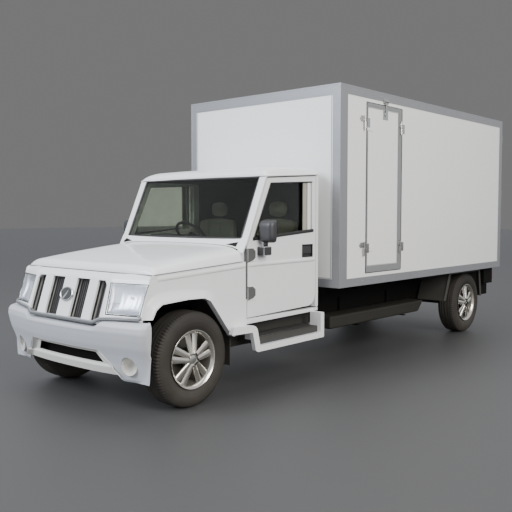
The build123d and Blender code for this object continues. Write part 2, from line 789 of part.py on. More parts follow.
def rear_lock_bar():
    """Upright lock rod near the leaf's free edge, with its swing handle."""
    y = IN_Y1 + 22
    with BuildPart() as bar:
        rod_z(95, y, FLOOR_TOP + 40, IN_Z1 - WALL - 40, 12)
        block((106, y - 5, 1180), (290, y + 5, 1212))
    write_pair(bar, "rear_lock_bar")


def main():
    os.makedirs("parts", exist_ok=True)
    chassis_frame()
    front_axle_beam()
    leaf_springs()
    rear_axle_housing()
    engine_and_gearbox()
    exhaust_system()
    fuel_tank()
    propeller_shaft()
    steering_knuckle()
    tie_rod()
    wheels()
    mudguards()
    rear_bumper()
    tail_lamps()
    side_steps()
    step_treads()
    front_bumper()
    grille_panel()
    grille_mesh()
    headlamps()
    front_fenders()
    bonnet()
    cab_floor()
    cab_sides()
    cab_roof()
    windscreen()
    dashboard()
    steering_wheel()
    seats()
    cab_door()
    door_glass()
    door_handle()
    mirror_head()
    box_floor()
    box_walls()
    box_roof()
    box_edge_rails()
    side_door()
    side_door_latch()
    rear_door()
    rear_lock_bar()


main()
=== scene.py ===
"""Looks of the delivery truck: body panels, wheels, lamps, glass, seats and every finish."""
import json
import math

import bpy
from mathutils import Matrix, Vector

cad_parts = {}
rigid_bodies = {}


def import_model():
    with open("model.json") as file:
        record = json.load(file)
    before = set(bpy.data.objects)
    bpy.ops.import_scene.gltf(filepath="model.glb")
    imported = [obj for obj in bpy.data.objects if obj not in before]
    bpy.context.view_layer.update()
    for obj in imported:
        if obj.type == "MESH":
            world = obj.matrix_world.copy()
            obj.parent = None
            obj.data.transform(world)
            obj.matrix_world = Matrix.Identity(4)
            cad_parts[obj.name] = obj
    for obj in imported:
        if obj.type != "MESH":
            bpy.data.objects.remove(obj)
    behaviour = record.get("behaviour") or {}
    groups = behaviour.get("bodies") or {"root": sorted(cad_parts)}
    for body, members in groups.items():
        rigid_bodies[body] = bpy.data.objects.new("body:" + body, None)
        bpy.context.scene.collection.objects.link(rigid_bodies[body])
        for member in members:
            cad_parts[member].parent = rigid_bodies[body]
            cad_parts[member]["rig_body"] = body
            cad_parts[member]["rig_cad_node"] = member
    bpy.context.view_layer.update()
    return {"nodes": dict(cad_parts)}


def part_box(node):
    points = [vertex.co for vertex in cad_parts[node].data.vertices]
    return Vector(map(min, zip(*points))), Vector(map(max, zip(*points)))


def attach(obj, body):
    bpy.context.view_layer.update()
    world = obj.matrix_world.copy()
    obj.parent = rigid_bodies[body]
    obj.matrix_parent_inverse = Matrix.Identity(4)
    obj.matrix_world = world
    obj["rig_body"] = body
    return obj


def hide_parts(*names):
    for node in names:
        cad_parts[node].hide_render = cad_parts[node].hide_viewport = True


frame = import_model()
bpy.ops.object.select_all(action="DESELECT")

SIDES = (("left", 1), ("right", -1))
FRONT_AXLE_Y, REAR_AXLE_Y, AXLE_Z, WHEEL_X = -2.345, 2.242, 0.3607, 0.7375


# ---- modelling helpers -------------------------------------------------------
def named(name):
    """The object just added, named and with its place in its mesh."""
    piece = bpy.context.active_object
    piece.name = name
    piece.data.name = name
    bpy.ops.object.transform_apply(location=True, rotation=True, scale=True)
    piece.select_set(False)
    return piece


def only(piece):
    """Select one piece and make it active."""
    bpy.ops.object.select_all(action="DESELECT")
    bpy.context.view_layer.objects.active = piece
    piece.select_set(True)


def modify(piece, kind, **values):
    """Add a modifier, set it and apply it."""
    only(piece)
    modifier = piece.modifiers.new(kind.title(), kind)
    for key, value in values.items():
        setattr(modifier, key, value)
    bpy.ops.object.modifier_apply(modifier=modifier.name)
    piece.select_set(False)
    return piece


def smooth(piece, angle=35):
    """Shade a piece smooth, with creases kept above an angle in degrees."""
    only(piece)
    bpy.ops.object.shade_smooth_by_angle(angle=math.radians(angle))
    piece.select_set(False)
    return piece


def tidy_mesh(piece, dissolve=False, flip=False):
    """Merge doubles and turn all faces outwards."""
    only(piece)
    bpy.ops.object.mode_set(mode="EDIT")
    bpy.ops.mesh.select_all(action="SELECT")
    bpy.ops.mesh.remove_doubles(threshold=0.00005)
    if dissolve:
        bpy.ops.mesh.dissolve_limited(angle_limit=math.radians(1.0))
    bpy.ops.mesh.normals_make_consistent(inside=flip)
    bpy.ops.object.mode_set(mode="OBJECT")
    piece.select_set(False)
    return piece


def bevelled(piece, width, segments=3, angle=30):
    """Round the sharp edges of a piece and weight its normals by face size."""
    modify(piece, "BEVEL", width=width, segments=segments, limit_method="ANGLE",
           angle_limit=math.radians(angle), use_clamp_overlap=True)
    smooth(piece, 40)
    return modify(piece, "WEIGHTED_NORMAL", keep_sharp=True)


def fit(piece, body, finish, stands_for=()):
    """Give a finished piece its finish and the body it moves with."""
    piece.data.materials.clear()
    piece.data.materials.append(finish)
    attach(piece, body)
    if stands_for:
        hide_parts(*stands_for)
    return piece


def bar(name, low, high, width=0.003, segments=2, tilt=None):
    """A block between two corners with rounded edges."""
    middle = [(a + b) / 2 for a, b in zip(low, high)]
    size = [b - a for a, b in zip(low, high)]
    bpy.ops.mesh.primitive_cube_add(size=1, location=middle, scale=size, rotation=tilt or (0, 0, 0))
    return bevelled(named(name), width, segments)


def shaped(name, columns, rows, place, closed=False, thick=0.0, flip=False, angle=40):
    """A grid bent to the surface place(u, v), with u and v from 0 to 1, and given a thickness."""
    bpy.ops.mesh.primitive_grid_add(x_subdivisions=columns, y_subdivisions=rows, size=2)
    piece = named(name)
    for vertex in piece.data.vertices:
        u, v = (vertex.co.x + 1) / 2, (vertex.co.y + 1) / 2
        vertex.co = place(u, v)
    only(piece)
    bpy.ops.object.mode_set(mode="EDIT")
    bpy.ops.mesh.select_all(action="SELECT")
    bpy.ops.mesh.remove_doubles(threshold=0.00005)
    if closed:
        bpy.ops.mesh.normals_make_consistent(inside=False)
    if flip:
        bpy.ops.mesh.flip_normals()
    bpy.ops.object.mode_set(mode="OBJECT")
    piece.select_set(False)
    if thick:
        modify(piece, "SOLIDIFY", thickness=thick, offset=-1.0)
    return smooth(piece, angle)


def turned(name, profile, axis_y, axis_z, steps=96, thick=0.0):
    """A profile of (x, radius) points turned about a line along X."""
    count = len(profile) - 1

    def place(u, v):
        at = min(int(round(v * count)), count)
        x, radius = profile[at]
        turn = 2 * math.pi * u
        return (x, axis_y + radius * math.cos(turn), axis_z + radius * math.sin(turn))

    return shaped(name, steps, count, place, closed=True, thick=thick)


def along(points, t):
    """A point at share t along a polyline."""
    lengths = [(Vector(b) - Vector(a)).length for a, b in zip(points, points[1:])]
    rest = t * sum(lengths)
    for (a, b), length in zip(zip(points, points[1:]), lengths):
        if rest <= length or (a, b) == (points[-2], points[-1]):
            return Vector(a).lerp(Vector(b), min(rest / length, 1.0))
        rest -= length


def step(low, high, value):
    """Smooth step from 0 at low to 1 at high."""
    t = max(0.0, min(1.0, (value - low) / (high - low)))
    return t * t * (3 - 2 * t)


def curve_at(table, value):
    """Piecewise straight table of (x, y) pairs."""
    for (x0, y0), (x1, y1) in zip(table, table[1:]):
        if value <= x1:
            return y0 + (y1 - y0) * (value - x0) / (x1 - x0)
    return table[-1][1]


def tube(name, points, radius, closed=False, sides=10):
    """A round bead along a path, as a mesh."""
    data = bpy.data.curves.new(name, "CURVE")
    data.dimensions = "3D"
    data.bevel_depth = radius
    data.bevel_resolution = max(1, sides // 4)
    spline = data.splines.new("POLY")
    spline.points.add(len(points) - 1)
    for knot, point in zip(spline.points, points):
        knot.co = (*point, 1)
    spline.use_cyclic_u = closed
    data.use_fill_caps = not closed
    piece = bpy.data.objects.new(name, data)
    bpy.context.collection.objects.link(piece)
    only(piece)
    bpy.ops.object.convert(target="MESH")
    piece = bpy.context.active_object
    piece.name = name
    piece.select_set(False)
    return smooth(piece, 60)


def joined(name, pieces):
    """Several pieces made one."""
    bpy.ops.object.select_all(action="DESELECT")
    for piece in pieces:
        piece.select_set(True)
    bpy.context.view_layer.objects.active = pieces[0]
    bpy.ops.object.join()
    whole = bpy.context.active_object
    whole.name = name
    whole.data.name = name
    whole.select_set(False)
    return whole


def face_front(piece, where, yaw=0.0, depth=1.0):
    """Turn a piece made about the X axis to run along Y from a place, yawed about it."""
    ahead = Vector((math.sin(yaw), math.cos(yaw), 0)) * depth
    across = Vector((math.cos(yaw), -math.sin(yaw), 0))
    for vertex in piece.data.vertices:
        along_axis, aside, up = vertex.co
        vertex.co = Vector(where) + ahead * along_axis + across * aside + Vector((0, 0, up))
    return tidy_mesh(piece)


def cut(piece, cutters):
    """Take the cutters' shapes out of a piece."""
    for cutter in cutters:
        modify(piece, "BOOLEAN", operation="DIFFERENCE", object=cutter, solver="EXACT")
        bpy.data.objects.remove(cutter)
    return piece


def prism(name, outline, y_low, y_high):
    """A prism along Y over an outline of (x, z) points."""
    bpy.ops.mesh.primitive_circle_add(vertices=len(outline), radius=1, fill_type="NGON")
    piece = named(name)
    for vertex, (x, z) in zip(piece.data.vertices, outline):
        vertex.co = (x, y_low, z)
    only(piece)
    bpy.ops.object.mode_set(mode="EDIT")
    bpy.ops.mesh.select_all(action="SELECT")
    bpy.ops.mesh.extrude_region_move(TRANSFORM_OT_translate={"value": (0, y_high - y_low, 0)})
    bpy.ops.mesh.select_all(action="SELECT")
    bpy.ops.mesh.normals_make_consistent(inside=False)
    bpy.ops.object.mode_set(mode="OBJECT")
    piece.select_set(False)
    return piece


def softened(node, finish, width=0.003, segments=2, dissolve=True):
    """A copy of a CAD node with its edges rounded, standing for the node."""
    source = frame["nodes"][node]
    piece = source.copy()
    piece.data = source.data.copy()
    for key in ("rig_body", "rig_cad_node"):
        if key in piece:
            del piece[key]
    piece.parent = None
    piece.name = f"{node}_shell"
    piece.data.name = piece.name
    bpy.context.collection.objects.link(piece)
    tidy_mesh(piece, dissolve=dissolve)
    bevelled(piece, width, segments)
    return fit(piece, source["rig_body"], finish, stands_for=(node,))


# ---- finishes ----------------------------------------------------------------
def link(tree, a, b):
    tree.links.new(a, b)


def variation_group():
    """Soft blotches and a fine grain over any surface: a mask and a height."""
    group = bpy.data.node_groups.new("Surface variation", "ShaderNodeTree")
    face = group.interface
    for label, value in (("Blotch scale", 3.0), ("Grain scale", 300.0)):
        socket = face.new_socket(name=label, in_out="INPUT", socket_type="NodeSocketFloat")
        socket.default_value = value
    for label in ("Blotches", "Grain"):
        face.new_socket(name=label, in_out="OUTPUT", socket_type="NodeSocketFloat")
    nodes = group.nodes
    entry, leave = nodes.new("NodeGroupInput"), nodes.new("NodeGroupOutput")
    place = nodes.new("ShaderNodeTexCoord")
    for row, (label, detail) in enumerate((("Blotch", 4.0), ("Grain", 2.0))):
        noise = nodes.new("ShaderNodeTexNoise")
        noise.inputs["Detail"].default_value = detail
        link(group, place.outputs["Object"], noise.inputs["Vector"])
        link(group, entry.outputs[f"{label} scale"], noise.inputs["Scale"])
        link(group, noise.outputs["Fac"], leave.inputs[row])
    return group


def road_dust_group():
    """More dust the nearer a surface is to the ground, broken up by noise."""
    group = bpy.data.node_groups.new("Road dust", "ShaderNodeTree")
    face = group.interface
    for label, value in (("Top", 0.7), ("Amount", 0.4)):
        socket = face.new_socket(name=label, in_out="INPUT", socket_type="NodeSocketFloat")
        socket.default_value = value
    face.new_socket(name="Dust", in_out="OUTPUT", socket_type="NodeSocketFloat")
    nodes = group.nodes
    entry, leave = nodes.new("NodeGroupInput"), nodes.new("NodeGroupOutput")
    place = nodes.new("ShaderNodeTexCoord")
    split = nodes.new("ShaderNodeSeparateXYZ")
    level = nodes.new("ShaderNodeMapRange")
    level.inputs["From Min"].default_value = 0.0
    level.inputs["To Min"].default_value = 1.0
    level.inputs["To Max"].default_value = 0.0
    noise = nodes.new("ShaderNodeTexNoise")
    noise.inputs["Scale"].default_value = 9.0
    noise.inputs["Detail"].default_value = 6.0
    product = nodes.new("ShaderNodeMath")
    product.operation = "MULTIPLY"
    total = nodes.new("ShaderNodeMath")
    total.operation = "MULTIPLY"
    link(group, place.outputs["Object"], split.inputs[0])
    link(group, place.outputs["Object"], noise.inputs["Vector"])
    link(group, split.outputs["Z"], level.inputs["Value"])
    link(group, entry.outputs["Top"], level.inputs["From Max"])
    link(group, level.outputs["Result"], product.inputs[0])
    link(group, noise.outputs["Fac"], product.inputs[1])
    link(group, product.outputs[0], total.inputs[0])
    link(group, entry.outputs["Amount"], total.inputs[1])
    link(group, total.outputs[0], leave.inputs[0])
    return group


VARIATION = variation_group()
ROAD_DUST = road_dust_group()
DUST_COLOUR = (0.16, 0.14, 0.115, 1)


def finish(name, colour, rough, shade=0.9, rough_spread=0.08, blotch=3.0, grain=300.0, bump=0.0,
           dust=0.0, dust_top=0.7, **sockets):
    """A surface with blotches in its colour and gloss, a fine grain and some road dust."""
    material = bpy.data.materials.new(name)
    material.use_nodes = True
    tree = material.node_tree
    shader = tree.nodes["Principled BSDF"]
    for socket, value in sockets.items():
        shader.inputs[socket.replace("_", " ")].default_value = value
    vary = tree.nodes.new("ShaderNodeGroup")
    vary.node_tree = VARIATION
    vary.inputs["Blotch scale"].default_value = blotch
    vary.inputs["Grain scale"].default_value = grain
    ramp = tree.nodes.new("ShaderNodeMix")
    ramp.data_type = "RGBA"
    ramp.inputs["A"].default_value = (*[c * shade for c in colour], 1)
    ramp.inputs["B"].default_value = (*colour, 1)
    link(tree, vary.outputs["Blotches"], ramp.inputs["Factor"])
    gloss = tree.nodes.new("ShaderNodeMapRange")
    gloss.inputs["To Min"].default_value = max(0.0, rough - rough_spread)
    gloss.inputs["To Max"].default_value = min(1.0, rough + rough_spread)
    link(tree, vary.outputs["Grain"], gloss.inputs["Value"])
    link(tree, gloss.outputs["Result"], shader.inputs["Roughness"])
    colour_out = ramp.outputs["Result"]
    if dust:
        dusting = tree.nodes.new("ShaderNodeGroup")
        dusting.node_tree = ROAD_DUST
        dusting.inputs["Top"].default_value = dust_top
        dusting.inputs["Amount"].default_value = dust
        film = tree.nodes.new("ShaderNodeMix")
        film.data_type = "RGBA"
        film.inputs["B"].default_value = DUST_COLOUR
        link(tree, dusting.outputs["Dust"], film.inputs["Factor"])
        link(tree, colour_out, film.inputs["A"])
        colour_out = film.outputs["Result"]
    link(tree, colour_out, shader.inputs["Base Color"])
    if bump:
        relief = tree.nodes.new("ShaderNodeBump")
        relief.inputs["Strength"].default_value = bump
        relief.inputs["Distance"].default_value = 0.001
        link(tree, vary.outputs["Grain"], relief.inputs["Height"])
        link(tree, relief.outputs["Normal"], shader.inputs["Normal"])
    return material


def woven(name, colour, thread=0.0035):
    """Plain-weave cloth: crossing threads in relief, with a soft sheen."""
    material = finish(name, colour, 0.85, shade=0.8, blotch=5.0, grain=900.0)
    tree = material.node_tree
    shader = tree.nodes["Principled BSDF"]
    shader.inputs["Sheen Weight"].default_value = 0.3
    place = tree.nodes.new("ShaderNodeTexCoord")
    heights = []
    for direction in ("X", "Z"):
        wave = tree.nodes.new("ShaderNodeTexWave")
        wave.bands_direction = direction
        wave.inputs["Scale"].default_value = 0.314 / thread
        wave.inputs["Distortion"].default_value = 0.4
        link(tree, place.outputs["Object"], wave.inputs["Vector"])
        heights.append(wave.outputs["Fac"])
    cross = tree.nodes.new("ShaderNodeMath")
    cross.operation = "MAXIMUM"
    link(tree, heights[0], cross.inputs[0])
    link(tree, heights[1], cross.inputs[1])
    relief = tree.nodes.new("ShaderNodeBump")
    relief.inputs["Strength"].default_value = 0.5
    relief.inputs["Distance"].default_value = 0.001
    link(tree, cross.outputs[0], relief.inputs["Height"])
    link(tree, relief.outputs["Normal"], shader.inputs["Normal"])
    return material


PAINT = finish("White paint", (0.88, 0.885, 0.89), 0.30, shade=0.97, rough_spread=0.05, grain=700,
               bump=0.02, Coat_Weight=0.45, Coat_Roughness=0.08)
BUMPER_PLASTIC = finish("Bumper plastic", (0.53, 0.54, 0.57), 0.42, shade=0.96, grain=900, bump=0.05)
RECESS_PLASTIC = finish("Recess plastic", (0.69, 0.675, 0.63), 0.5, shade=0.93, grain=900, bump=0.05)
BOX_PANEL = finish("Box panel", (0.90, 0.90, 0.89), 0.34, shade=0.98, rough_spread=0.06, blotch=1.2,
                   grain=160, bump=0.02, Coat_Weight=0.2, Coat_Roughness=0.15)
EDGE_RAIL = finish("Edge rail", (0.30, 0.305, 0.325), 0.42, shade=0.93, blotch=6, grain=500, bump=0.03,
                   Metallic=0.35)
DOOR_FRAME = finish("Door frame", (0.30, 0.305, 0.31), 0.45, shade=0.92, grain=500, bump=0.03,
                    Metallic=0.3)
BRIGHT = finish("Bright hardware", (0.58, 0.58, 0.56), 0.2, shade=0.9, grain=400, bump=0.02, Metallic=0.9)
ALLOY = finish("Lacquered alloy", (0.72, 0.69, 0.63), 0.20, shade=0.92, rough_spread=0.05, grain=900,
               bump=0.02, Metallic=0.95, Coat_Weight=0.3, dust=0.12, dust_top=0.5)
ALLOY_DARK = finish("Rim barrel", (0.26, 0.245, 0.22), 0.4, shade=0.8, Metallic=0.7, dust=0.3, dust_top=0.6)
TYRE = finish("Tyre rubber", (0.036, 0.033, 0.029), 0.66, shade=0.72, blotch=14, grain=900, bump=0.12,
              dust=0.30, dust_top=0.75, Specular_IOR_Level=0.3)
TRIM = finish("Grained trim", (0.042, 0.042, 0.044), 0.55, shade=0.8, grain=1400, bump=0.14)
MIRROR_SHELL = finish("Mirror shell", (0.040, 0.040, 0.045), 0.42, shade=0.85, grain=1400, bump=0.10)
GUARD = finish("Mudguard plastic", (0.048, 0.047, 0.043), 0.6, shade=0.75, grain=900, bump=0.12, dust=0.3,
               dust_top=0.9)
RUBBER = finish("Seal rubber", (0.022, 0.022, 0.022), 0.5, shade=0.8, grain=1200, bump=0.08)
BLACK = finish("Chassis paint", (0.006, 0.0055, 0.005), 0.7, shade=0.7, grain=400, bump=0.1, dust=0.02,
               dust_top=0.9, Specular_IOR_Level=0.12)
CAST = finish("Cast iron", (0.075, 0.07, 0.065), 0.65, shade=0.6, grain=300, bump=0.3, Metallic=0.5, dust=0.3)
TANK = finish("Tank plastic", (0.028, 0.027, 0.022), 0.65, shade=0.8, grain=700, bump=0.1, dust=0.12,
              Specular_IOR_Level=0.25)
PIPE = finish("Exhaust steel", (0.2, 0.18, 0.16), 0.45, shade=0.6, grain=300, bump=0.1, dust=0.3,
              Metallic=0.8)
HINGE_GREY = finish("Hinge plates", (0.105, 0.108, 0.104), 0.5, shade=0.9, grain=700, bump=0.06)
# Near-black for the boards under the cab: painted shade.
CAB_UNDERSIDE_SHADE = finish("Cab underside painted shade", (0.030, 0.028, 0.024), 0.6, shade=0.75, grain=400, bump=0.1, dust=0.1)
CHANNEL = finish("Window channel", (0.40, 0.385, 0.33), 0.5, shade=0.92)
GAP = finish("Panel gap", (0.16, 0.165, 0.17), 0.6, shade=0.9)
GAP_DARK = finish("Panel seam", (0.10, 0.10, 0.105), 0.6, shade=0.9)
# Dark tube under the grille's metal strip: painted shadow in the gap.
SHADOW_GAP_STRIP = finish("Shadow gap strip", (0.16, 0.165, 0.17), 0.4, shade=0.9, grain=700, bump=0.03, Metallic=0.3)
STRIP_GREY = finish("Grey strip", (0.33, 0.34, 0.35), 0.35, shade=0.92, grain=700, bump=0.03, Metallic=0.3)
MESH_GREY = finish("Grille backing", (0.065, 0.062, 0.062), 0.55, shade=0.85, grain=700, bump=0.1)
CHROME = finish("Chrome", (0.80, 0.81, 0.82), 0.06, shade=0.96, rough_spread=0.03, Metallic=1.0)
REFLECTOR = finish("Lamp reflector", (0.90, 0.92, 0.96), 0.34, shade=0.97, rough_spread=0.04, Metallic=0.75)
RED_LENS = finish("Red lens", (0.45, 0.015, 0.015), 0.12, shade=0.8, Coat_Weight=0.6)
DASH = finish("Dashboard", (0.038, 0.037, 0.036), 0.6, shade=0.85, grain=1600, bump=0.2)
SEAT = woven("Seat cloth", (0.20, 0.19, 0.165))
TREAD = finish("Tread rubber", (0.05, 0.048, 0.045), 0.7, shade=0.8, grain=900, bump=0.2, dust=0.15)
MIRROR_GLASS = finish("Mirror glass", (0.75, 0.78, 0.80), 0.02, shade=0.98, rough_spread=0.01, Metallic=1.0)


def pane(name, tint, shade=0.97):
    material = finish(name, tint, 0.02, shade=shade, rough_spread=0.01, blotch=4.0, grain=40)
    shader = material.node_tree.nodes["Principled BSDF"]
    shader.inputs["Transmission Weight"].default_value = 1.0
    shader.inputs["IOR"].default_value = 1.3
    return material


# Windscreen tint in noise blotches, from half to full strength: a painted reflection of green foliage in the
# glass.
SCREEN_WITH_PAINTED_REFLECTION = pane("Screen glass with painted reflection", (0.66, 0.72, 0.62), 0.5)
# Inside of the cab painted near-black: the real lining, darkened as painted shade so the cab looks dark
# through its glass.
CABIN_PAINTED_SHADE = finish("Cabin lining with painted shade", (0.014, 0.014, 0.012), 0.8, shade=0.8, grain=900, bump=0.05,
               Specular_IOR_Level=0.2)
SIDE_GLASS = pane("Side glass", (0.60, 0.62, 0.52))
LAMP_LENS = pane("Lamp lens", (0.93, 0.95, 0.98))


# ---- bonnet and wings --------------------------------------------------------
SIDE_LINE = ((-2.690, 1.010), (-2.353, 1.028), (-2.058, 1.044), (-1.765, 1.061))
CROWN_LINE = ((-2.690, 1.074), (-2.52, 1.102), (-2.353, 1.126), (-2.058, 1.162), (-1.765, 1.192))


def bonnet_height(across, y):
    """Height of the bonnet's skin at a share of its half width, on the straight part."""
    side, crown = curve_at(SIDE_LINE, y), curve_at(CROWN_LINE, y)
    share = (1 - 0.12 * across ** 2) * max(0.0, 1 - across ** 9) ** 0.5
    return side + (crown - side) * share


def bonnet():
    """Clamshell bonnet: crowned, with a raised field, rolled-down sides and a rolled nose."""
    nose = 0.12

    def place(u, v):
        across = 2 * u - 1
        x = 0.80 * across
        nose_y = -2.748 + 0.058 * abs(across) ** 2.2
        back = -1.766
        if v < nose:
            roll = v / nose * math.pi / 2
            reach = 0.062
            top = bonnet_height(abs(across), nose_y + reach)
            low = 1.014 - 0.006 * across ** 2
            y = nose_y + reach * (1 - math.cos(roll))
            z = low + (top - low) * math.sin(roll)
            return (x, y, z)
        y = nose_y + 0.062 + (back - nose_y - 0.062) * (v - nose) / (1 - nose)
        return (x, y, bonnet_height(abs(across), y))

    skin = shaped("bonnet_skin", 72, 60, place, thick=0.006)
    fit(skin, "bonnet", PAINT, ("bonnet",))
    edge = [(-0.8015, y, curve_at(SIDE_LINE, y) - 0.004) for y in (-1.77, -2.058, -2.353, -2.68)]
    lip = [(0.796 * t, -2.751 + 0.058 * abs(t) ** 2.2, 1.011 - 0.006 * t * t)
           for t in [number / 12 - 1 for number in range(25)]]
    back = [(-x, y, z) for x, y, z in reversed(edge)]
    fit(tube("bonnet_gap", edge + lip + back, 0.0032), "chassis", GAP)


WING_EDGE = (
    (-2.818, 0.700), (-2.724, 0.995), (-2.700, 1.006), (-2.353, 1.0245), (-1.893, 1.047),
    (-1.716, 1.057), (-1.716, 0.482), (-1.888, 0.470),
)
ARCH = (
    (-2.738, 0.700), (-2.704, 0.762), (-2.648, 0.798), (-2.400, 0.812), (-2.235, 0.808),
    (-2.170, 0.780), (-2.106, 0.700), (-1.938, 0.486), (-1.890, 0.471),
)


def wings():
    """Front wings, each one panel that swells out to the lip of its wheel arch."""
    for side, sign in SIDES:
        def place(u, v, sign=sign):
            outer, inner = along(WING_EDGE, u), along(ARCH, u)
            reach = min(v / 0.86, 1.0)
            point = outer.lerp(inner, reach ** 0.8)
            gap = (point - inner).length
            swell = 0.046 * (1 - step(0.0, 0.085, gap)) * step(0.0, 0.06, (point - outer).length)
            x = 0.800 + swell
            if v > 0.86:
                x -= 0.05 * (v - 0.86) / 0.14
            return (sign * x, point.x, point.y)

        wing = shaped(f"wing_{side}", 110, 28, place, flip=sign < 0, angle=50)
        fit(wing, "chassis", PAINT)
        roof_low = ((-2.72, 0.745), (-2.61, 0.835), (-2.20, 0.84), (-2.02, 0.735), (-1.90, 0.50))

        def liner(u, v, sign=sign):
            point = along(roof_low, u)
            return (sign * (0.45 + 0.335 * v), point.x, point.y)

        inner = shaped(f"wheel_arch_liner_{side}", 40, 6, liner, thick=0.004, flip=sign > 0)
        fit(inner, "chassis", GUARD)
    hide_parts("front_fenders")


def belt_moulding():
    """Raised waist crease along each wing and door."""
    for side, sign in SIDES:
        for part, body, y0, z0, y1, z1 in (
            ("wing", "chassis", -2.66, 0.957, -1.722, 1.006),
            ("door", f"cab_door_{side}", -1.700, 1.008, -0.792, 1.014),
        ):
            def place(u, v, sign=sign, y0=y0, z0=z0, y1=y1, z1=z1):
                y = y0 + (y1 - y0) * u
                z = z0 + (z1 - z0) * u
                swell = math.sin(math.pi * v) ** 0.4 if 0 < v < 1 else 0.0
                fade = step(0, 0.04, u) * (1 - step(0.985, 1.0, u))
                skin = 0.7995 if part == "wing" else 0.797
                return (sign * (skin - 0.001 + 0.0130 * fade * swell), y, z + 0.036 * v)

            strip = shaped(f"waist_crease_{part}_{side}", 40, 8, place, flip=sign < 0, angle=50)
            fit(strip, body, PAINT)


# ---- nose: grille, lamps, bumper ---------------------------------------------
def slant(z):
    """Y of the raked front panel at a height."""
    return -2.806 - 0.324 * (1.009 - z)


def front_panel_y(x, z):
    """Y of the panel's face: flat in the middle, swept back past the grille."""
    sweep = max(0.0, abs(x) - 0.49) / 0.31
    return slant(z) + 0.088 * sweep


SLOTS = ((-0.452, -0.344), (-0.240, -0.081), (0.081, 0.240), (0.344, 0.452))
SLOT_LOW, SLOT_HIGH = 0.667, 0.957
SLOT_CLIP = 0.03


def grille():
    """Raked panel with four upright slots, swept back round the lamps."""
    def place(u, v):
        x = -0.803 + 1.606 * u
        z = 0.690 + 0.312 * v
        if abs(x) < 0.45:
            z = 0.655 + 0.347 * v
        top_roll = 0.05 * step(0.93, 1.0, v)
        return (x, front_panel_y(x, z) + top_roll, z + 0.006 * step(0.9, 1, v))

    panel = shaped("grille_shell", 96, 24, place, thick=0.034)
    cutters = []
    for x0, x1 in SLOTS:
        outline = [(x0, SLOT_LOW), (x1, SLOT_LOW), (x1, SLOT_HIGH), (x0, SLOT_HIGH)]
        if abs(x0 + x1) > 0.5:
            left, right = (SLOT_CLIP, 0) if x0 < 0 else (0, SLOT_CLIP)
            outline = [(x0, SLOT_LOW), (x1, SLOT_LOW), (x1, SLOT_HIGH - right), (x1 - right, SLOT_HIGH),
                       (x0 + left, SLOT_HIGH), (x0, SLOT_HIGH - left)]
        cutters.append(prism("slot_cutter", outline, -3.05, -2.70))
    for sign in (-1, 1):
        opening = ((0.505, 0.722), (0.794, 0.720), (0.8015, 0.945), (0.487, 0.948))
        outline = [(sign * x, z) for x, z in opening]
        cutters.append(prism("lamp_cutter", outline, -3.05, -2.60))
    cut(panel, cutters)
    bevelled(panel, 0.003, 2, 45)
    fit(panel, "chassis", PAINT, ("grille_panel",))

    for x0, x1 in SLOTS:
        for wall, x in (("near", x0), ("far", x1)):
            def cheek(u, v, x=x):
                z = 0.668 + 0.288 * v
                return (x, front_panel_y(x, z) + 0.018 + 0.034 * u, z)

            inner = shaped(f"slot_cheek_{wall}", 6, 8, cheek, thick=0.003)
            fit(inner, "chassis", RECESS_PLASTIC)

    backing = shaped("slot_backing", 20, 20, lambda u, v: (
        -0.47 + 0.94 * u, slant(0.65 + 0.32 * v) + 0.052, 0.65 + 0.32 * v), thick=0.003)
    fit(backing, "chassis", MESH_GREY)
    half = [(0.0, slant(0.662) - 0.016, 0.662), (0.405, slant(0.662) - 0.014, 0.662),
            (0.470, slant(0.69) - 0.002, 0.692), (0.560, front_panel_y(0.56, 0.70) - 0.006, 0.700),
            (0.790, front_panel_y(0.79, 0.70) - 0.006, 0.706),
            (0.806, front_panel_y(0.806, 0.71) + 0.004, 0.716)]
    ledge = [(-x, y, z) for x, y, z in reversed(half[1:])] + half
    # Upper grey tube: the bright metal strip along the foot of the grille. Lower dark tube: painted shadow in
    # the gap under it.
    for label, drop, radius, surface in (("upper", 0.006, 0.0085, STRIP_GREY),
                                         ("lower", -0.006, 0.009, SHADOW_GAP_STRIP)):
        strip = tube(f"grille_strip_{label}", [(x, y, z + drop) for x, y, z in ledge], radius, sides=12)
        fit(strip, "chassis", surface)


def grille_ribs():
    """Fine upright ribs on the backing behind the slots."""
    ribs = []
    for number in range(38):
        x = -0.462 + number * 0.025
        y = slant(0.80) + 0.047
        ribs.append(bar("rib", (x - 0.003, y - 0.003, 0.66), (x + 0.003, y + 0.003, 0.945), 0.001, 1,
                        (-math.atan(0.324), 0, 0)))
    piece = joined("grille_ribs", ribs)
    fit(piece, "chassis", MESH_GREY)


def badge():
    """Plain round badge with one slanted bar."""
    centre = Vector((0, slant(0.834) - 0.008, 0.834))
    tilt = math.atan(0.324)
    parts = []
    bpy.ops.mesh.primitive_torus_add(major_radius=0.050, minor_radius=0.0065, major_segments=48,
                                     minor_segments=12, location=centre,
                                     rotation=(math.pi / 2 - tilt, 0, 0))
    parts.append(named("badge_ring"))
    parts.append(bar("badge_bar", (-0.006, centre.y - 0.003, 0.794), (0.006, centre.y + 0.003, 0.878),
                     0.002, 2, (-tilt, math.radians(28), 0)))
    ring = joined("badge_chrome", parts)
    for vertex in ring.data.vertices:
        vertex.co.x *= 1.5
    fit(smooth(ring, 50), "chassis", CHROME)
    bpy.ops.mesh.primitive_cylinder_add(vertices=48, radius=0.049, depth=0.006, location=centre,
                                        rotation=(math.pi / 2 - tilt, 0, 0))
    field = bevelled(named("badge_field"), 0.0015, 2)
    for vertex in field.data.vertices:
        vertex.co.x *= 1.5
    fit(field, "chassis", TRIM)


LAMP = {  # corner: (x, z)
    "inner_low": (0.508, 0.726), "outer_low": (0.791, 0.724),
    "inner_high": (0.490, 0.944), "outer_high": (0.799, 0.941),
}


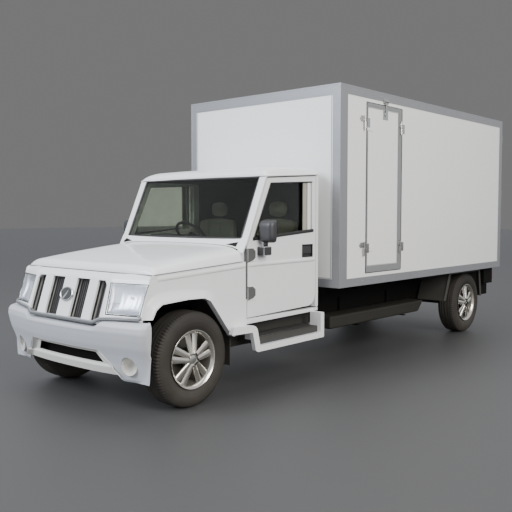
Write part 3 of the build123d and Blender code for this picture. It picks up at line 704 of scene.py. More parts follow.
def lamp_point(u, v):
    """(x, z) at shares across and up the lamp's face, 0 at its inner lower corner."""
    low = Vector(LAMP["inner_low"]).lerp(Vector(LAMP["outer_low"]), u)
    high = Vector(LAMP["inner_high"]).lerp(Vector(LAMP["outer_high"]), u)
    return low.lerp(high, v)


def lamp_face_y(x, z):
    return front_panel_y(x, z) + 0.004


def headlamps():
    """Clear crowned lens over a bowl reflector, with a dark gap and a chrome line round it."""
    for side, sign in SIDES:
        def lens(u, v, sign=sign):
            x, z = lamp_point(0.012 + 0.976 * u, 0.015 + 0.97 * v)
            crown = 0.008 * math.sin(math.pi * u) ** 0.7 * math.sin(math.pi * v) ** 0.7
            return (sign * x, lamp_face_y(x, z) - crown, z)

        glass = shaped(f"lamp_lens_{side}", 24, 18, lens, thick=0.003, flip=sign < 0)
        fit(glass, "chassis", LAMP_LENS)

        def bowl(u, v, sign=sign):
            x, z = lamp_point(0.03 + 0.94 * u, 0.04 + 0.92 * v)
            depth = 0.055 * (math.sin(math.pi * u) * math.sin(math.pi * v)) ** 0.35
            steps = 0.0008 * math.sin(u * math.pi * 14)
            return (sign * x, lamp_face_y(x, z) + 0.010 + depth + steps * depth / 0.055, z)

        reflector = shaped(f"lamp_reflector_{side}", 84, 24, bowl, thick=0.002, flip=sign < 0)
        fit(reflector, "chassis", REFLECTOR)
        for ring, inset, radius, metal in (("outer", -0.003, 0.0050, RUBBER),
                                           ("inner", 0.022, 0.0026, CHROME)):
            corners = []
            for u, v in ((inset, inset), (1 - inset, inset), (1 - inset, 1 - inset), (inset, 1 - inset)):
                x, z = lamp_point(u, v)
                corners.append((sign * x, lamp_face_y(x, z) - 0.001, z))
            rim = tube(f"lamp_{ring}_bead_{side}", corners, radius, closed=True)
            fit(rim, "chassis", metal)
        x, z = lamp_point(0.5, 0.52)
        bulb_profile = [(-0.010, 0.0005), (-0.004, 0.006), (0.012, 0.007), (0.020, 0.0005)]
        bulb = turned(f"lamp_bulb_{side}", bulb_profile, 0, 0, 24)
        face_front(bulb, (sign * x, lamp_face_y(x, z) + 0.052, z))
        fit(bulb, "chassis", REFLECTOR)
    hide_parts("headlamp_lenses")
    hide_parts("headlamp_housings")


BUMPER_PROFILE = (  # (height, set back from the most forward line)
    (0.676, 0.120), (0.684, 0.085), (0.682, 0.048), (0.672, 0.020), (0.650, 0.004), (0.610, 0.0),
    (0.560, 0.010), (0.500, 0.026), (0.440, 0.050), (0.380, 0.070), (0.320, 0.086), (0.262, 0.100),
    (0.247, 0.112),
)


def bumper_point(u, v):
    """A point of the bumper's skin at shares across and down it."""
    across = 2 * u - 1
    side = math.copysign(1, across)
    t = abs(across)
    count = len(BUMPER_PROFILE) - 1
    at = v * count
    low = min(int(at), count - 1)
    (z0, s0), (z1, s1) = BUMPER_PROFILE[low], BUMPER_PROFILE[low + 1]
    z, back = z0 + (z1 - z0) * (at - low), s0 + (s1 - s0) * (at - low)
    flat = 0.78
    if t < flat:
        x = t / flat * 0.80
        y = -2.968 + 0.085 * (x / 0.80) ** 2.4 + back
    else:
        turn = (t - flat) / (1 - flat)
        start_y = -2.968 + 0.085 + back
        bend = min(turn / 0.5, 1.0) * math.pi / 2
        x = 0.80 + (0.090 - back * 0.35) * math.sin(bend)
        y = start_y + 0.05 * (1 - math.cos(bend))
        if turn > 0.5:
            y += (-2.790 - y) * (turn - 0.5) / 0.5
    dip = 1 - step(0.40, 0.50, abs(x))
    if z > 0.60:
        z = 0.60 + (z - 0.60) * (1 - 0.62 * dip)
    return (side * x, min(y, -2.788), z)


def bumper():
    """Moulded bumper: sloped ledge, dropped middle, lower intake and two lamp recesses."""
    skin = shaped("bumper_skin", 120, 48, lambda u, v: bumper_point(u, v), thick=0.006, flip=True)
    cutters = [prism("intake_cutter", [(-0.420, 0.462), (0.420, 0.462), (0.655, 0.200), (-0.655, 0.200)],
                     -3.1, -2.70)]
    for sign in (-1, 1):
        bpy.ops.mesh.primitive_cylinder_add(vertices=48, radius=0.066, depth=0.3,
                                            location=(sign * 0.700, -2.86, 0.368),
                                            rotation=(math.pi / 2, 0, sign * 0.25))
        cutters.append(named("recess_cutter"))
    cut(skin, cutters)
    smooth(skin, 40)
    fit(skin, "chassis", BUMPER_PLASTIC, ("front_bumper",))

    def recess(u, v):
        half = 0.425 + 0.19 * (1 - v)
        x = -half + 2 * half * u
        edge = min(u, 1 - u) * 2 * half
        bow = 0.085 * (abs(x) / 0.80) ** 2.4
        z = 0.285 + 0.180 * v
        back = 0.034 * min(1.0, edge / 0.05) * min(1.0, (1 - v) / 0.10)
        lean = 0.075 - 0.10 * v
        sill = 0.016 * (1 - step(0.28, 0.40, v))
        return (x, -2.916 + bow + back + lean * 0.5 - sill, z)

    inner = shaped("bumper_recess_panel", 96, 40, recess, thick=0.005)
    cut(inner, [prism("slot_cutter", [(-0.362, 0.436), (0.362, 0.436), (0.424, 0.362), (-0.424, 0.362)],
                      -3.1, -2.70)])
    smooth(inner, 40)
    fit(inner, "chassis", RECESS_PLASTIC)

    def throat(u, v):
        x = -0.50 + 1.0 * u
        bow = 0.085 * (abs(x) / 0.80) ** 2.4
        return (x, -2.815 + bow, 0.33 + 0.13 * v)

    back = shaped("intake_backing", 30, 4, throat, thick=0.004)
    fit(back, "chassis", BLACK)
    for side, sign in SIDES:
        profile = [(-0.006, 0.0665), (0.004, 0.066), (0.02, 0.061), (0.045, 0.050), (0.062, 0.036),
                   (0.066, 0.018), (0.067, 0.001)]
        cup = turned(f"bumper_recess_{side}", profile, 0, 0, 48, thick=0.002)
        face_front(cup, (sign * 0.700, -2.832, 0.368), -sign * 0.25)
        smooth(cup, 40)
        fit(cup, "chassis", RECESS_PLASTIC)


# ---- wheels ------------------------------------------------------------------
def tyre_point(u, v, y0, sign):
    """A point of the tyre's outside; v runs from the inner bead over the tread to the outer bead."""
    profile = (
        (-0.090, 0.205), (-0.094, 0.226), (-0.106, 0.250), (-0.1115, 0.280), (-0.108, 0.310),
        (-0.101, 0.330), (-0.094, 0.344), (-0.084, 0.3545), (-0.060, 0.3590), (-0.030, 0.3604),
        (0.0, 0.3606), (0.030, 0.3604), (0.060, 0.3590), (0.084, 0.3545), (0.094, 0.344),
        (0.101, 0.330), (0.108, 0.310), (0.1115, 0.280), (0.106, 0.250), (0.094, 0.226), (0.090, 0.205),
    )
    at = v * (len(profile) - 1)
    low = min(int(at), len(profile) - 2)
    (x0, r0), (x1, r1) = profile[low], profile[low + 1]
    x, radius = x0 + (x1 - x0) * (at - low), r0 + (r1 - r0) * (at - low)
    turn = 2 * math.pi * u
    wide = abs(x)
    if radius > 0.325:
        for groove in (0.018, 0.052):
            radius -= 0.007 * (1 - step(0.0, 0.005, abs(wide - groove)))
        sipe = (u * 90) % 1.0
        if wide > 0.06 and 0.36 < sipe < 0.64:
            radius -= 0.006 * step(0.06, 0.066, wide) * step(0.325, 0.345, radius)
    if 0.300 < radius < 0.306:
        radius += 0.0008
    return (sign * WHEEL_X + x, y0 + radius * math.cos(turn), AXLE_Z + radius * math.sin(turn))


def spoke(name, angle, lean, y0, sign):
    """One tapered spoke of a pair, from the hub out to the rim."""
    face = sign * (WHEEL_X + 0.078)

    def place(u, v):
        reach = 0.045 + 0.150 * v
        spread = lean * (0.0165 + 0.024 * v)
        half = 0.019 + 0.0125 * v
        around = 2 * math.pi * u
        wide = half * math.cos(around)
        deep = 0.017 * math.sin(around)
        if deep > 0:
            deep *= 0.75
        crown = 0.014 * (1 - v) ** 1.5 - 0.006 * v
        out = Vector((math.cos(angle), math.sin(angle)))
        side = Vector((-out.y, out.x))
        flat = out * reach + side * (spread + wide)
        return (face + sign * (crown + deep), y0 + flat.x, AXLE_Z + flat.y)

    return shaped(name, 20, 14, place, closed=True)


def wheel(place_name, side, sign, y0):
    """Tyre, rim barrel, five pairs of spokes, hub cap and wheel nuts."""
    body = f"wheel_{place_name}_{side}"
    tag = f"{place_name}_{side}"
    cover = shaped(f"tyre_cover_{tag}", 450, 60, lambda u, v: tyre_point(u, v, y0, sign), closed=True,
                   angle=45)
    fit(cover, body, TYRE, (f"tyre_{tag}",))
    x = sign * WHEEL_X
    s = sign
    barrel_profile = [
        (x - s * 0.100, 0.2205), (x - s * 0.092, 0.216), (x - s * 0.088, 0.200), (x - s * 0.03, 0.186),
        (x + s * 0.045, 0.186), (x + s * 0.070, 0.196), (x + s * 0.086, 0.201), (x + s * 0.094, 0.214),
        (x + s * 0.102, 0.2195), (x + s * 0.1055, 0.2210), (x + s * 0.1065, 0.2185), (x + s * 0.102, 0.211),
        (x + s * 0.090, 0.1995), (x + s * 0.083, 0.196),
    ]
    barrel = turned(f"rim_lip_{tag}", barrel_profile, y0, AXLE_Z, 96)
    fit(barrel, body, ALLOY)
    well_profile = [(x + s * 0.084, 0.1965), (x + s * 0.04, 0.180), (x - s * 0.02, 0.176),
                    (x - s * 0.02, 0.04)]
    well = turned(f"rim_well_{tag}", well_profile, y0, AXLE_Z, 96, thick=0.002)
    fit(well, body, ALLOY_DARK)
    spokes = []
    for number in range(5):
        angle = math.radians(90 + 72 * number)
        for lean in (-1, 1):
            spokes.append(spoke("spoke", angle, lean, y0, sign))
    hub_profile = [
        (x + s * 0.058, 0.074), (x + s * 0.074, 0.073), (x + s * 0.086, 0.064), (x + s * 0.088, 0.045),
        (x + s * 0.082, 0.036), (x + s * 0.082, 0.034),
    ]
    spokes.append(turned("hub_ring", hub_profile, y0, AXLE_Z, 48))
    web = joined(f"rim_spokes_{tag}", spokes)
    fit(web, body, ALLOY, (f"rim_{tag}",))
    cap_profile = [(x + s * 0.080, 0.034), (x + s * 0.094, 0.032), (x + s * 0.098, 0.022),
                   (x + s * 0.0995, 0.001)]
    cap = turned(f"hub_cap_{tag}", cap_profile, y0, AXLE_Z, 40)
    fit(cap, body, BRIGHT)
    nuts = []
    for number in range(5):
        angle = math.radians(54 + 72 * number)
        where = (x + s * 0.083, y0 + 0.055 * math.cos(angle), AXLE_Z + 0.055 * math.sin(angle))
        bpy.ops.mesh.primitive_cylinder_add(vertices=6, radius=0.0105, depth=0.022, location=where,
                                            rotation=(0, math.pi / 2, 0))
        nuts.append(bevelled(named("nut"), 0.002, 2))
    fit(joined(f"wheel_nuts_{tag}", nuts), body, CHROME)


def wheels():
    for side, sign in SIDES:
        wheel("front", side, sign, FRONT_AXLE_Y)
        wheel("rear", side, sign, REAR_AXLE_Y)


# ---- cab ---------------------------------------------------------------------
def roof():
    """Roof pressing: crowned both ways, with a rolled front edge."""
    line = ((-1.476, 1.752), (-1.474, 1.772), (-1.460, 1.794), (-1.430, 1.814), (-1.370, 1.832),
            (-1.22, 1.848), (-1.05, 1.857), (-0.86, 1.859), (-0.768, 1.855), (-0.748, 1.838), (-0.742, 1.792))

    def place(u, v):
        across = 2 * u - 1
        count = len(line) - 1
        at = v * count
        low = min(int(at), count - 1)
        y = line[low][0] + (line[low + 1][0] - line[low][0]) * (at - low)
        z = line[low][1] + (line[low + 1][1] - line[low][1]) * (at - low)
        base = 1.752 + (y + 1.474) * 0.052
        t = abs(across)
        round_off = max(0.0, 1 - t ** 16) ** 0.5
        z = base + (z - base) * (round_off * (1 - 0.08 * t * t)) + 0.002
        return (math.copysign(0.797 * t, across), y, z)

    skin = shaped("roof_skin", 60, 54, place, thick=0.006)
    fit(skin, "chassis", PAINT)
    for side, sign in SIDES:
        drip = tube(f"drip_rail_{side}", [(sign * 0.801, -1.468, 1.753), (sign * 0.803, -1.1, 1.775),
                                          (sign * 0.803, -0.765, 1.7945)], 0.0075, sides=12)
        fit(drip, "chassis", PAINT)
        gutter = tube(f"drip_seal_{side}", [(sign * 0.801, -1.460, 1.744), (sign * 0.801, -1.1, 1.766),
                                            (sign * 0.801, -0.800, 1.784)], 0.0055, sides=10)
        fit(gutter, "chassis", RUBBER)
    lining = bar("roof_lining", (-0.72, -1.43, 1.742), (0.72, -0.78, 1.752), 0.003)
    fit(lining, "chassis", CABIN_PAINTED_SHADE)
    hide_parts("cab_roof")


def windscreen():
    """Slightly bowed screen in a black rubber seal."""
    def place(u, v):
        x = -0.722 + 1.444 * u
        bow = 0.022 * (1 - (x / 0.722) ** 2)
        return (x, -1.694 + 0.232 * v - bow * 0.6, 1.236 + 0.510 * v)

    glass = shaped("screen_glass", 24, 12, place, thick=0.005)
    fit(glass, "chassis", SCREEN_WITH_PAINTED_REFLECTION, ("windscreen",))
    edge = []
    for t in range(25):
        edge.append(place(t / 24, 0))
    for t in range(1, 13):
        edge.append(place(1, t / 12))
    for t in range(1, 25):
        edge.append(place(1 - t / 24, 1))
    for t in range(1, 12):
        edge.append(place(0, 1 - t / 12))
    seal = tube("screen_seal", edge, 0.0115, closed=True, sides=12)
    fit(seal, "chassis", RUBBER)


def cab_shell():
    """Pillars, sills and panels of the cab with rounded edges."""
    softened("cab_sides", PAINT, 0.004, 2, dissolve=False)
    # Cab floor and bulkheads get the near-black lining: painted shade inside the cab.
    repaint("cab_floor_and_bulkheads", CABIN_PAINTED_SHADE)
    cowl = shaped("cowl_top", 40, 8, lambda u, v: (
        -0.797 + 1.594 * u, -1.764 + 0.062 * v,
        bonnet_height(abs(2 * u - 1) * 0.97, -1.768) * (1 - v) + 1.236 * v + 0.004), thick=0.004)
    fit(cowl, "chassis", PAINT)
    for side, sign in SIDES:
        foot = shaped(f"pillar_foot_{side}", 10, 8, lambda u, v, sign=sign: (
            sign * (0.672 + 0.126 * u), -1.756 + 0.056 * v,
            1.160 + 0.084 * v - 0.040 * u ** 4 * (1 - v)), thick=0.004, flip=sign < 0)
        fit(foot, "chassis", PAINT)
        corner = shaped(f"rear_corner_{side}", 12, 20, lambda u, v, sign=sign: (
            sign * (0.7975 - 0.02 * (1 - math.cos(u * math.pi / 2))),
            -0.772 + 0.027 * math.sin(u * math.pi / 2),
            0.566 + 1.222 * v), thick=0.003, flip=sign < 0)
        fit(corner, "chassis", PAINT)
    back = bar("cab_back_skin", (-0.79, -0.7445, 0.60), (0.79, -0.7415, 1.79), 0.001, 1)
    fit(back, "chassis", PAINT)


def window_corners(sign, inset=0.0):
    """Corners of the side window's opening."""
    return [(sign * 0.7985, -1.633 + inset, 1.229 + inset), (sign * 0.7985, -1.413 + inset, 1.696 - inset),
            (sign * 0.7985, -0.843 - inset, 1.724 - inset), (sign * 0.7985, -0.838 - inset, 1.296 + inset)]


def doors():
    """Door shells with their glass, seals, channel, handle, hinges and mirror."""
    for side, sign in SIDES:
        body = f"cab_door_{side}"
        softened(f"door_{side}", PAINT, 0.003, 2, dissolve=False)
        glass = frame["nodes"][f"door_glass_{side}"]
        glass.data.materials.clear()
        glass.data.materials.append(SIDE_GLASS)
        corners = window_corners(sign)
        seal = tube(f"window_seal_{side}", corners[:3], 0.0055, sides=10)
        fit(seal, body, RUBBER)
        waist = shaped(f"waist_seal_{side}", 30, 8, lambda u, v, sign=sign: (
            sign * (0.797 + 0.011 * math.sin(v * math.pi) ** 0.6), -1.640 + 0.812 * u,
            1.208 + 0.068 * u + 0.030 * v + 0.012 * (1 - u)), flip=sign < 0)
        fit(waist, body, RUBBER)
        for label, y0, y1, x, surface in (("grey", -0.958, -0.905, 0.788, CHANNEL),
                                          ("white", -0.898, -0.852, 0.792, PAINT)):
            post = bar(f"channel_{label}_{side}", (min(sign * (x - 0.012), sign * x), y0, 1.270),
                       (max(sign * (x - 0.012), sign * x), y1, 1.716), 0.004, 3)
            fit(post, body, surface)
        plates = []
        for low, high in ((0.738, 0.848), (1.046, 1.160)):
            y0, y1, rise = -1.7055, -1.612, high - low
            outline = ((y0, low), (y1 - 0.030, low + 0.014), (y1, low + 0.32 * rise), (y1, low + 0.80 * rise),
                       (y1 - 0.030, high), (y0, high))
            plate = prism("hinge_plate", outline, 0.0, 0.0095)
            for vertex in plate.data.vertices:
                x, y, z = vertex.co
                vertex.co = (sign * (0.7970 + y), x, z)
            plates.append(bevelled(tidy_mesh(plate), 0.0025, 2))
        fit(joined(f"hinge_plates_{side}", plates), body, HINGE_GREY)
        gap_strip = bar(f"door_gap_strip_{side}", (min(sign * 0.790, sign * 0.8075), -1.7280, 0.752),
                        (max(sign * 0.790, sign * 0.8075), -1.7110, 1.160), 0.0030, 2)
        fit(gap_strip, "chassis", HINGE_GREY)
        walls = []
        for inner, outer, y0, y1, z0, z1 in (
            (0.7732, 0.7745, -0.982, -0.835, 1.059, 1.167),
            (0.7735, 0.7985, -0.9825, -0.9805, 1.059, 1.167),
            (0.7735, 0.7985, -0.8365, -0.8345, 1.059, 1.167),
            (0.7735, 0.7985, -0.982, -0.835, 1.0585, 1.0600),
            (0.7735, 0.7985, -0.982, -0.835, 1.166, 1.1675),
        ):
            low, high = sorted((sign * inner, sign * outer))
            walls.append(bar("wall", (low, y0, z0), (high, y1, z1), 0.0003, 1))
        fit(joined(f"handle_pocket_{side}", walls), body, TRIM)
        frame_bead = tube(f"handle_surround_{side}",
                          [(sign * 0.798, -0.983, 1.058), (sign * 0.798, -0.834, 1.058),
                           (sign * 0.798, -0.834, 1.168), (sign * 0.798, -0.983, 1.168)], 0.004, closed=True)
        fit(frame_bead, body, TRIM)
        softened(f"door_handle_{side}", TRIM, 0.004, 3)
        card = shaped(f"door_card_{side}", 4, 4, lambda u, v, sign=sign: (
            sign * 0.7212, -1.690 + 0.890 * u, 0.70 + 0.52 * v), thick=0.0015, flip=sign > 0)
        fit(card, body, CABIN_PAINTED_SHADE)
        foot = bar(f"mirror_foot_{side}", (min(sign * 0.796, sign * 0.874), -1.588, 1.099),
                   (max(sign * 0.796, sign * 0.874), -1.487, 1.1735), 0.010, 3)
        fit(foot, body, TRIM)
        mirror(side, sign)


def mirror(side, sign):
    """Mirror shell, rounded like a pebble in front and flat at the glass."""
    body = f"mirror_{side}"

    def place(u, v):
        turn = 2 * math.pi * u
        share = v * math.pi / 2
        power = 0.42
        wide = math.copysign(abs(math.cos(turn)) ** power, math.cos(turn))
        tall = math.copysign(abs(math.sin(turn)) ** power, math.sin(turn))
        shrink = math.cos(share) ** 0.45 if v < 1 else 0.0
        x = 0.880 + 0.078 * wide * shrink
        z = 1.298 + 0.094 * tall * shrink
        y = -1.525 - 0.070 * math.sin(share) ** 0.9
        return (sign * x, y, z)

    shell = shaped(f"mirror_shell_{side}", 64, 20, place, closed=True, angle=60)
    stem = bar("stem", (sign * 0.848 - 0.017, -1.552, 1.174), (sign * 0.848 + 0.017, -1.520, 1.212), 0.008, 3)
    shell = joined(f"mirror_shell_{side}", [shell, stem])
    fit(shell, body, MIRROR_SHELL, (f"mirror_{side}",))
    glass = bar(f"mirror_glass_{side}", (sign * 0.880 - 0.070, -1.5265, 1.212),
                (sign * 0.880 + 0.070, -1.5225, 1.384), 0.0015, 1)
    fit(glass, body, MIRROR_GLASS)


def cushion(name, low, high, puff):
    """A padded block with pulled-in sides and a crowned face."""
    bpy.ops.mesh.primitive_cube_add(size=1, location=[(a + b) / 2 for a, b in zip(low, high)],
                                    scale=[b - a for a, b in zip(low, high)])
    piece = named(name)
    only(piece)
    bpy.ops.object.mode_set(mode="EDIT")
    bpy.ops.mesh.select_all(action="SELECT")
    bpy.ops.mesh.subdivide(number_cuts=7)
    bpy.ops.object.mode_set(mode="OBJECT")
    middle = (Vector(low) + Vector(high)) / 2
    half = (Vector(high) - Vector(low)) / 2
    for vertex in piece.data.vertices:
        local = Vector([(vertex.co[i] - middle[i]) / half[i] for i in range(3)])
        for axis in range(3):
            others = [abs(local[i]) for i in range(3) if i != axis]
            pull = puff * (1 - (1 - others[0] ** 2) * (1 - others[1] ** 2))
            vertex.co[axis] = middle[axis] + local[axis] * (half[axis] - pull)
    modify(piece, "SUBSURF", levels=1, render_levels=1)
    return smooth(piece, 60)


def seats():
    """Two seats: cushion with a centre channel, backrest and headrest."""
    for side, sign in SIDES:
        x0, x1 = sorted((sign * 0.125, sign * 0.635))
        parts = [
            cushion("seat_base", (x0, -1.335, 0.745), (x1, -0.91, 0.945), 0.03),
            cushion("seat_back", (x0, -0.895, 0.935), (x1, -0.785, 1.395), 0.025),
            cushion("seat_head", (sign * 0.38 - 0.11, -0.848, 1.412),
                    (sign * 0.38 + 0.11, -0.778, 1.558), 0.02),
        ]
        seat = joined(f"seat_{side}", parts)
        for x in (sign * 0.38 - 0.08, sign * 0.38 + 0.08):
            welt = tube("seat_welt", [(x, -1.34, 0.86), (x, -1.25, 0.944), (x, -0.93, 0.944)], 0.004)
            back_welt = tube("seat_welt", [(x, -0.893, 0.97), (x, -0.896, 1.36)], 0.004)
            seat = joined(f"seat_{side}", [seat, welt, back_welt])
        fit(seat, "chassis", SEAT)
    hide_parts("seats")


def interior():
    """Dashboard and steering wheel with rounded edges, and the instrument hood."""
    softened("dashboard", DASH, 0.012, 3)
    softened("steering_wheel", TRIM, 0.002, 2)
    hood = cushion("instrument_hood", (-0.53, -1.62, 1.215), (-0.21, -1.47, 1.262), 0.012)
    fit(hood, "chassis", DASH)


# ---- freight box -------------------------------------------------------------
def box_body():
    """Panels, rounded edge rails, beads, seams and rivets of the freight box."""
    for node in ("box_floor", "box_walls", "box_roof"):
        mesh = frame["nodes"][node].data
        mesh.materials.clear()
        mesh.materials.append(BOX_PANEL)
    low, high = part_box("box_edge_rails")
    softened("box_edge_rails", EDGE_RAIL, 0.0012, 1)
    beads = []
    inset = 0.0125
    corners = [(x, y) for x in (low.x + inset, high.x - inset) for y in (low.y + inset, high.y - inset)]
    for x, y in corners:
        beads.append(tube("corner_bead", [(x, y, low.z + 0.01), (x, y, high.z - 0.01)], 0.0135, sides=16))
    for z in (low.z + inset, high.z - inset):
        for x in (low.x + inset, high.x - inset):
            beads.append(tube("long_bead", [(x, low.y + 0.01, z), (x, high.y - 0.01, z)], 0.0135, sides=16))
        for y in (low.y + inset, high.y - inset):
            beads.append(tube("cross_bead", [(low.x + 0.01, y, z), (high.x - 0.01, y, z)], 0.0135, sides=16))
    fit(joined("edge_beads", beads), "chassis", EDGE_RAIL)
    seams = []
    for sign in (-1, 1):
        x = sign * (high.x - 0.0105)
        seams.append(tube("seam", [(x, low.y + 0.120, low.z + 0.086), (x, high.y - 0.086, low.z + 0.086),
                                   (x, high.y - 0.086, high.z - 0.086), (x, low.y + 0.120, high.z - 0.086)],
                          0.0026, closed=True, sides=8))
    y = low.y + 0.0025
    seams.append(tube("seam", [(low.x + 0.098, y, low.z + 0.086), (high.x - 0.098, y, low.z + 0.086),
                               (high.x - 0.098, y, high.z - 0.086), (low.x + 0.098, y, high.z - 0.086)],
                      0.0026, closed=True, sides=8))
    fit(joined("panel_seams", seams), "chassis", GAP_DARK)
    rivets = []
    for z in (low.z + 0.045, high.z - 0.045):
        for number in range(22):
            y = low.y + 0.25 + number * 0.146
            for sign in (-1, 1):
                where = (sign * (high.x - 0.0005), y, z)
                bpy.ops.mesh.primitive_uv_sphere_add(segments=8, ring_count=4, radius=0.006,
                                                     location=where, scale=(0.35, 1, 1))
                rivets.append(named("rivet"))
    fit(smooth(joined("rail_rivets", rivets), 60), "chassis", BRIGHT)


def side_door():
    """Door leaf with its grey frame, sill strip, seals, hinges, toggles and latch."""
    softened("side_door", BOX_PANEL, 0.003, 2)
    x = 0.963
    body = "side_door"
    y0, y1, z0, z1 = -0.214, 0.424, 0.882, 2.484
    skin, hinge_x = 0.9635, 0.977
    for label, a, b in (
        ("front", (x, y0, z0), (x + 0.0045, y0 + 0.014, z1)),
        ("rear", (x, y1 - 0.060, z0), (x + 0.0045, y1, z1)),
        ("top", (x, y0 + 0.0145, z1 - 0.038), (x + 0.0045, y1 - 0.0605, z1)),
        ("sill", (x + 0.0005, y0 - 0.001, z0), (x + 0.007, y1 + 0.001, z0 + 0.062)),
    ):
        strip = bar(f"side_door_frame_{label}", a, b, 0.0015, 2)
        fit(strip, body, DOOR_FRAME)
    seal = tube("side_door_seal_outer", ((skin, y0 - 0.005, z0 - 0.004), (skin, y0 - 0.005, z1 + 0.004),
                                         (skin, y1 + 0.005, z1 + 0.004), (skin, y1 + 0.005, z0 - 0.004)),
                0.004, closed=True)
    fit(seal, "chassis", RUBBER)
    inner = tube("side_door_rebate", ((skin, y0 + 0.02, z0 + 0.066), (skin, y0 + 0.02, z1 - 0.044),
                                      (skin, y1 - 0.066, z1 - 0.044), (skin, y1 - 0.066, z0 + 0.066)),
                 0.002, closed=True)
    fit(inner, body, RUBBER)
    for z in (1.110, 2.290):
        plate = bar("hinge_leaf", (0.9645, -0.318, z + 0.012), (0.9735, -0.246, z + 0.062), 0.003, 2)
        arm = bar("hinge_arm", (0.9645, -0.330, z + 0.026), (0.9700, -0.236, z + 0.044), 0.002, 2)
        pin = tube("hinge_post", [(hinge_x, -0.262, z - 0.058), (hinge_x, -0.262, z + 0.006)], 0.0135,
                   sides=20)
        nose = tube("hinge_nose", [(hinge_x, -0.262, z - 0.070), (hinge_x, -0.262, z + 0.068)], 0.007,
                    sides=16)
        hinge = joined(f"side_hinge_post_{int(z * 1000)}", [plate, arm, pin, nose])
        fit(hinge, "chassis", BRIGHT)
        strap = bar(f"side_hinge_strap_{int(z * 1000)}", (skin, -0.213, z - 0.040),
                    (0.9705, -0.165, z + 0.050), 0.003, 2)
        fit(strap, body, BRIGHT)
        toggle = bar("toggle", (0.9675, 0.372, z + 0.010), (0.9775, 0.420, z + 0.055), 0.004, 2)
        lever = tube("lever", [(0.9795, 0.398, z - 0.062), (0.9795, 0.398, z + 0.070)], 0.007, sides=16)
        barrel = tube("barrel", [(0.9775, 0.398, z - 0.050), (0.9775, 0.398, z + 0.000)], 0.0125, sides=20)
        fit(joined(f"side_toggle_{int(z * 1000)}", [toggle, lever, barrel]), body, BRIGHT)
        keeper = bar(f"side_keeper_{int(z * 1000)}", (0.9645, 0.437, z - 0.045), (0.9705, 0.482, z + 0.045),
                     0.003, 2)
        fit(keeper, "chassis", BRIGHT)
    post = tube("door_channel", [(0.9655, 0.4335, 0.885), (0.9655, 0.4335, 2.482)], 0.0035, sides=8)
    fit(post, "chassis", RUBBER)
    softened("side_door_latch", BRIGHT, 0.002, 2)
    guide = [bar("latch_guide", (0.9645, 0.088, 2.492), (0.9785, 0.142, 2.506), 0.003, 2),
             bar("latch_guide", (0.9645, 0.068, 2.508), (0.9775, 0.162, 2.545), 0.003, 2),
             tube("latch_stud", [(0.9725, 0.080, 2.525), (0.9725, 0.150, 2.525)], 0.012, sides=16)]
    fit(joined("latch_keeper", guide), "chassis", BRIGHT)
    base = bar("latch_base", (skin, 0.070, 2.350), (0.9675, 0.160, 2.440), 0.002, 2)
    fit(base, body, BRIGHT)


def rear_doors():
    """Rear leaves with their lock rods, guides and hinge straps."""
    for side, sign in SIDES:
        softened(f"rear_door_{side}", BOX_PANEL, 0.003, 2)
        softened(f"rear_lock_bar_{side}", BRIGHT, 0.002, 2)
        guides = []
        for z in (0.90, 1.42, 1.95, 2.48):
            guides.append(bar("guide", (sign * 0.095 - 0.028, 2.936, z - 0.02),
                              (sign * 0.095 + 0.028, 2.9455, z + 0.02), 0.002, 2))
        fit(joined(f"lock_guides_{side}", guides), f"rear_door_{side}", BRIGHT)
        seal = tube(f"rear_door_seal_{side}",
                    [(sign * 0.0075, 2.9365, 0.813), (sign * 0.926, 2.9365, 0.813),
                     (sign * 0.926, 2.9365, 2.568), (sign * 0.0075, 2.9365, 2.568)], 0.004, closed=True)
        fit(seal, f"rear_door_{side}", RUBBER)
        pins = []
        for z in (1.000, 1.690, 2.380):
            pins.append(tube("pin", [(sign * 0.952, 2.951, z - 0.045), (sign * 0.952, 2.951, z + 0.045)],
                             0.009, sides=14))
            pins.append(bar("knuckle", (min(sign * 0.915, sign * 0.955), 2.9365, z - 0.022),
                            (max(sign * 0.915, sign * 0.955), 2.9535, z + 0.022), 0.003, 2))
        fit(joined(f"rear_hinges_{side}", pins), f"rear_door_{side}", BRIGHT)


# ---- underneath --------------------------------------------------------------
def repaint(node, surface):
    mesh = frame["nodes"][node].data
    mesh.materials.clear()
    mesh.materials.append(surface)


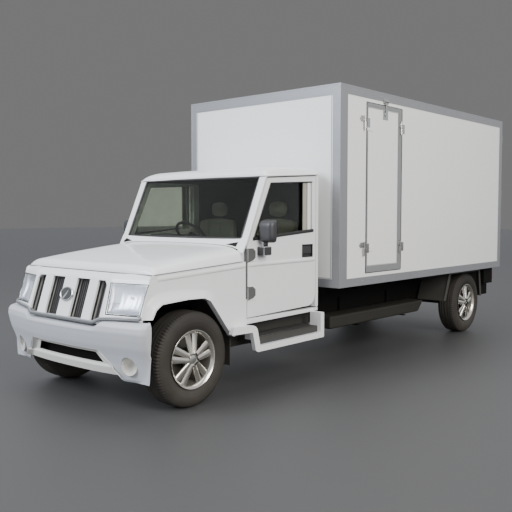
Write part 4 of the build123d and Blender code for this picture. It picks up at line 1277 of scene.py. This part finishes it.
def running_gear():
    """Finishes for the chassis, axles and drive line, and rounded edges where they show."""
    for node in ("front_axle_beam", "rear_axle_housing", "engine_and_gearbox", "steering_knuckle_left",
                 "steering_knuckle_right", "tie_rod", "brake_disc_left", "brake_disc_right",
                 "brake_drum_left", "brake_drum_right"):
        repaint(node, CAST)
    for node in ("leaf_springs", "propeller_shaft"):
        repaint(node, BLACK)
    repaint("exhaust_system", PIPE)
    softened("chassis_frame", BLACK, 0.006, 2)
    tank = bar("tank_body", (0.470, -0.395, 0.330), (0.690, 1.445, 0.452), 0.020, 4)
    for vertex in tank.data.vertices:
        if vertex.co.y > 0.8:
            vertex.co.y -= 0.12 * (0.452 - vertex.co.z) / 0.122
    fit(tank, "chassis", TANK)
    straps = []
    for y in (0.060, 0.980):
        straps.append(bar("strap", (0.412, y, 0.430), (0.478, y + 0.05, 0.590), 0.004, 2))
        straps.append(bar("strap", (0.470, y, 0.318), (0.696, y + 0.05, 0.327), 0.003, 2))
    fit(joined("tank_straps", straps), "chassis", BLACK, ("fuel_tank",))
    for side, sign in SIDES:
        # Black boards along the frame and over the rear arches, filling the space under the box: painted
        # shade, not parts of the truck.
        low, high = sorted((sign * 0.452, sign * 0.457))
        board = bar(f"frame_shade_board_{side}", (low, -0.70, 0.380), (high, 1.84, 0.752), 0.002, 1)
        fit(board, "chassis", BLACK)
        board = bar(f"arch_shade_board_{side}", (low, 1.841, 0.560), (high, 2.66, 0.752), 0.002, 1)
        fit(board, "chassis", BLACK)
        # Dark boards under each cab side, with no part behind them: painted shade beneath the cab.
        low, high = sorted((sign * 0.690, sign * 0.697))
        board = bar(f"cab_underside_shade_board_{side}", (low, -1.86, 0.360), (high, -0.75, 0.592), 0.002, 1)
        fit(board, "chassis", CAB_UNDERSIDE_SHADE)
    softened("mudguards", GUARD, 0.0015, 2)
    softened("rear_bumper", BLACK, 0.006, 2)
    softened("tail_lamps", RED_LENS, 0.003, 2)
    softened("side_steps", PAINT, 0.006, 3)
    softened("step_treads", TREAD, 0.002, 2)
    repaint("grille_mesh", MESH_GREY)


# ---- studio ------------------------------------------------------------------
CAMERA_PLACE = (4.6341, -5.9533, 1.4380)
CAMERA_TILT_DOWN, CAMERA_TURN = 3.378, 41.385


def studio():
    """Pale floor, soft lights and the camera."""
    bpy.ops.mesh.primitive_plane_add(size=120, location=(0, 0, 0))
    floor = named("studio_floor")
    floor.data.materials.append(finish("Studio floor", (0.062, 0.062, 0.062), 0.55, shade=0.98, blotch=0.5))
    world = bpy.data.worlds.new("Studio")
    bpy.context.scene.world = world
    world.use_nodes = True
    tree = world.node_tree
    soft = tree.nodes["Background"]
    soft.inputs["Color"].default_value = (0.92, 0.95, 1.0, 1)
    soft.inputs["Strength"].default_value = 0.75
    backdrop = tree.nodes.new("ShaderNodeBackground")
    backdrop.inputs["Color"].default_value = (0.186, 0.186, 0.186, 1)
    path = tree.nodes.new("ShaderNodeLightPath")
    either = tree.nodes.new("ShaderNodeMixShader")
    tree.links.new(path.outputs["Is Camera Ray"], either.inputs["Fac"])
    tree.links.new(soft.outputs[0], either.inputs[1])
    tree.links.new(backdrop.outputs[0], either.inputs[2])
    tree.links.new(either.outputs[0], tree.nodes["World Output"].inputs["Surface"])
    for label, where, aim, size, power, colour in (
        ("Key", (-2.5, -10.0, 6.0), (0, -1.0, 1.2), 5.0, 1150, (0.88, 0.93, 1.0)),
        ("Side", (10.5, -3.0, 6.0), (0, 0.6, 1.2), 6.0, 1180, (1.0, 0.965, 0.90)),
        ("Top", (0, 0, 9.0), (0, 0, 0), 8.0, 300, (1, 1, 1)),
    ):
        lamp = bpy.data.lights.new(label, "AREA")
        lamp.size = size
        lamp.energy = power
        lamp.color = colour
        holder = bpy.data.objects.new(label, lamp)
        bpy.context.collection.objects.link(holder)
        holder.location = where
        holder.rotation_euler = (Vector(aim) - Vector(where)).to_track_quat("-Z", "Y").to_euler()
    eye = bpy.data.cameras.new("Camera")
    eye.lens = 50
    eye.sensor_width = 36
    camera = bpy.data.objects.new("Camera", eye)
    bpy.context.collection.objects.link(camera)
    camera.location = CAMERA_PLACE
    camera.rotation_euler = (math.radians(90 - CAMERA_TILT_DOWN), 0, math.radians(CAMERA_TURN))
    bpy.context.scene.camera = camera


studio()
running_gear()
wheels()
bonnet()
wings()
belt_moulding()
grille()
grille_ribs()
badge()
headlamps()
bumper()
roof()
windscreen()
cab_shell()
doors()
seats()
interior()
box_body()
side_door()
rear_doors()
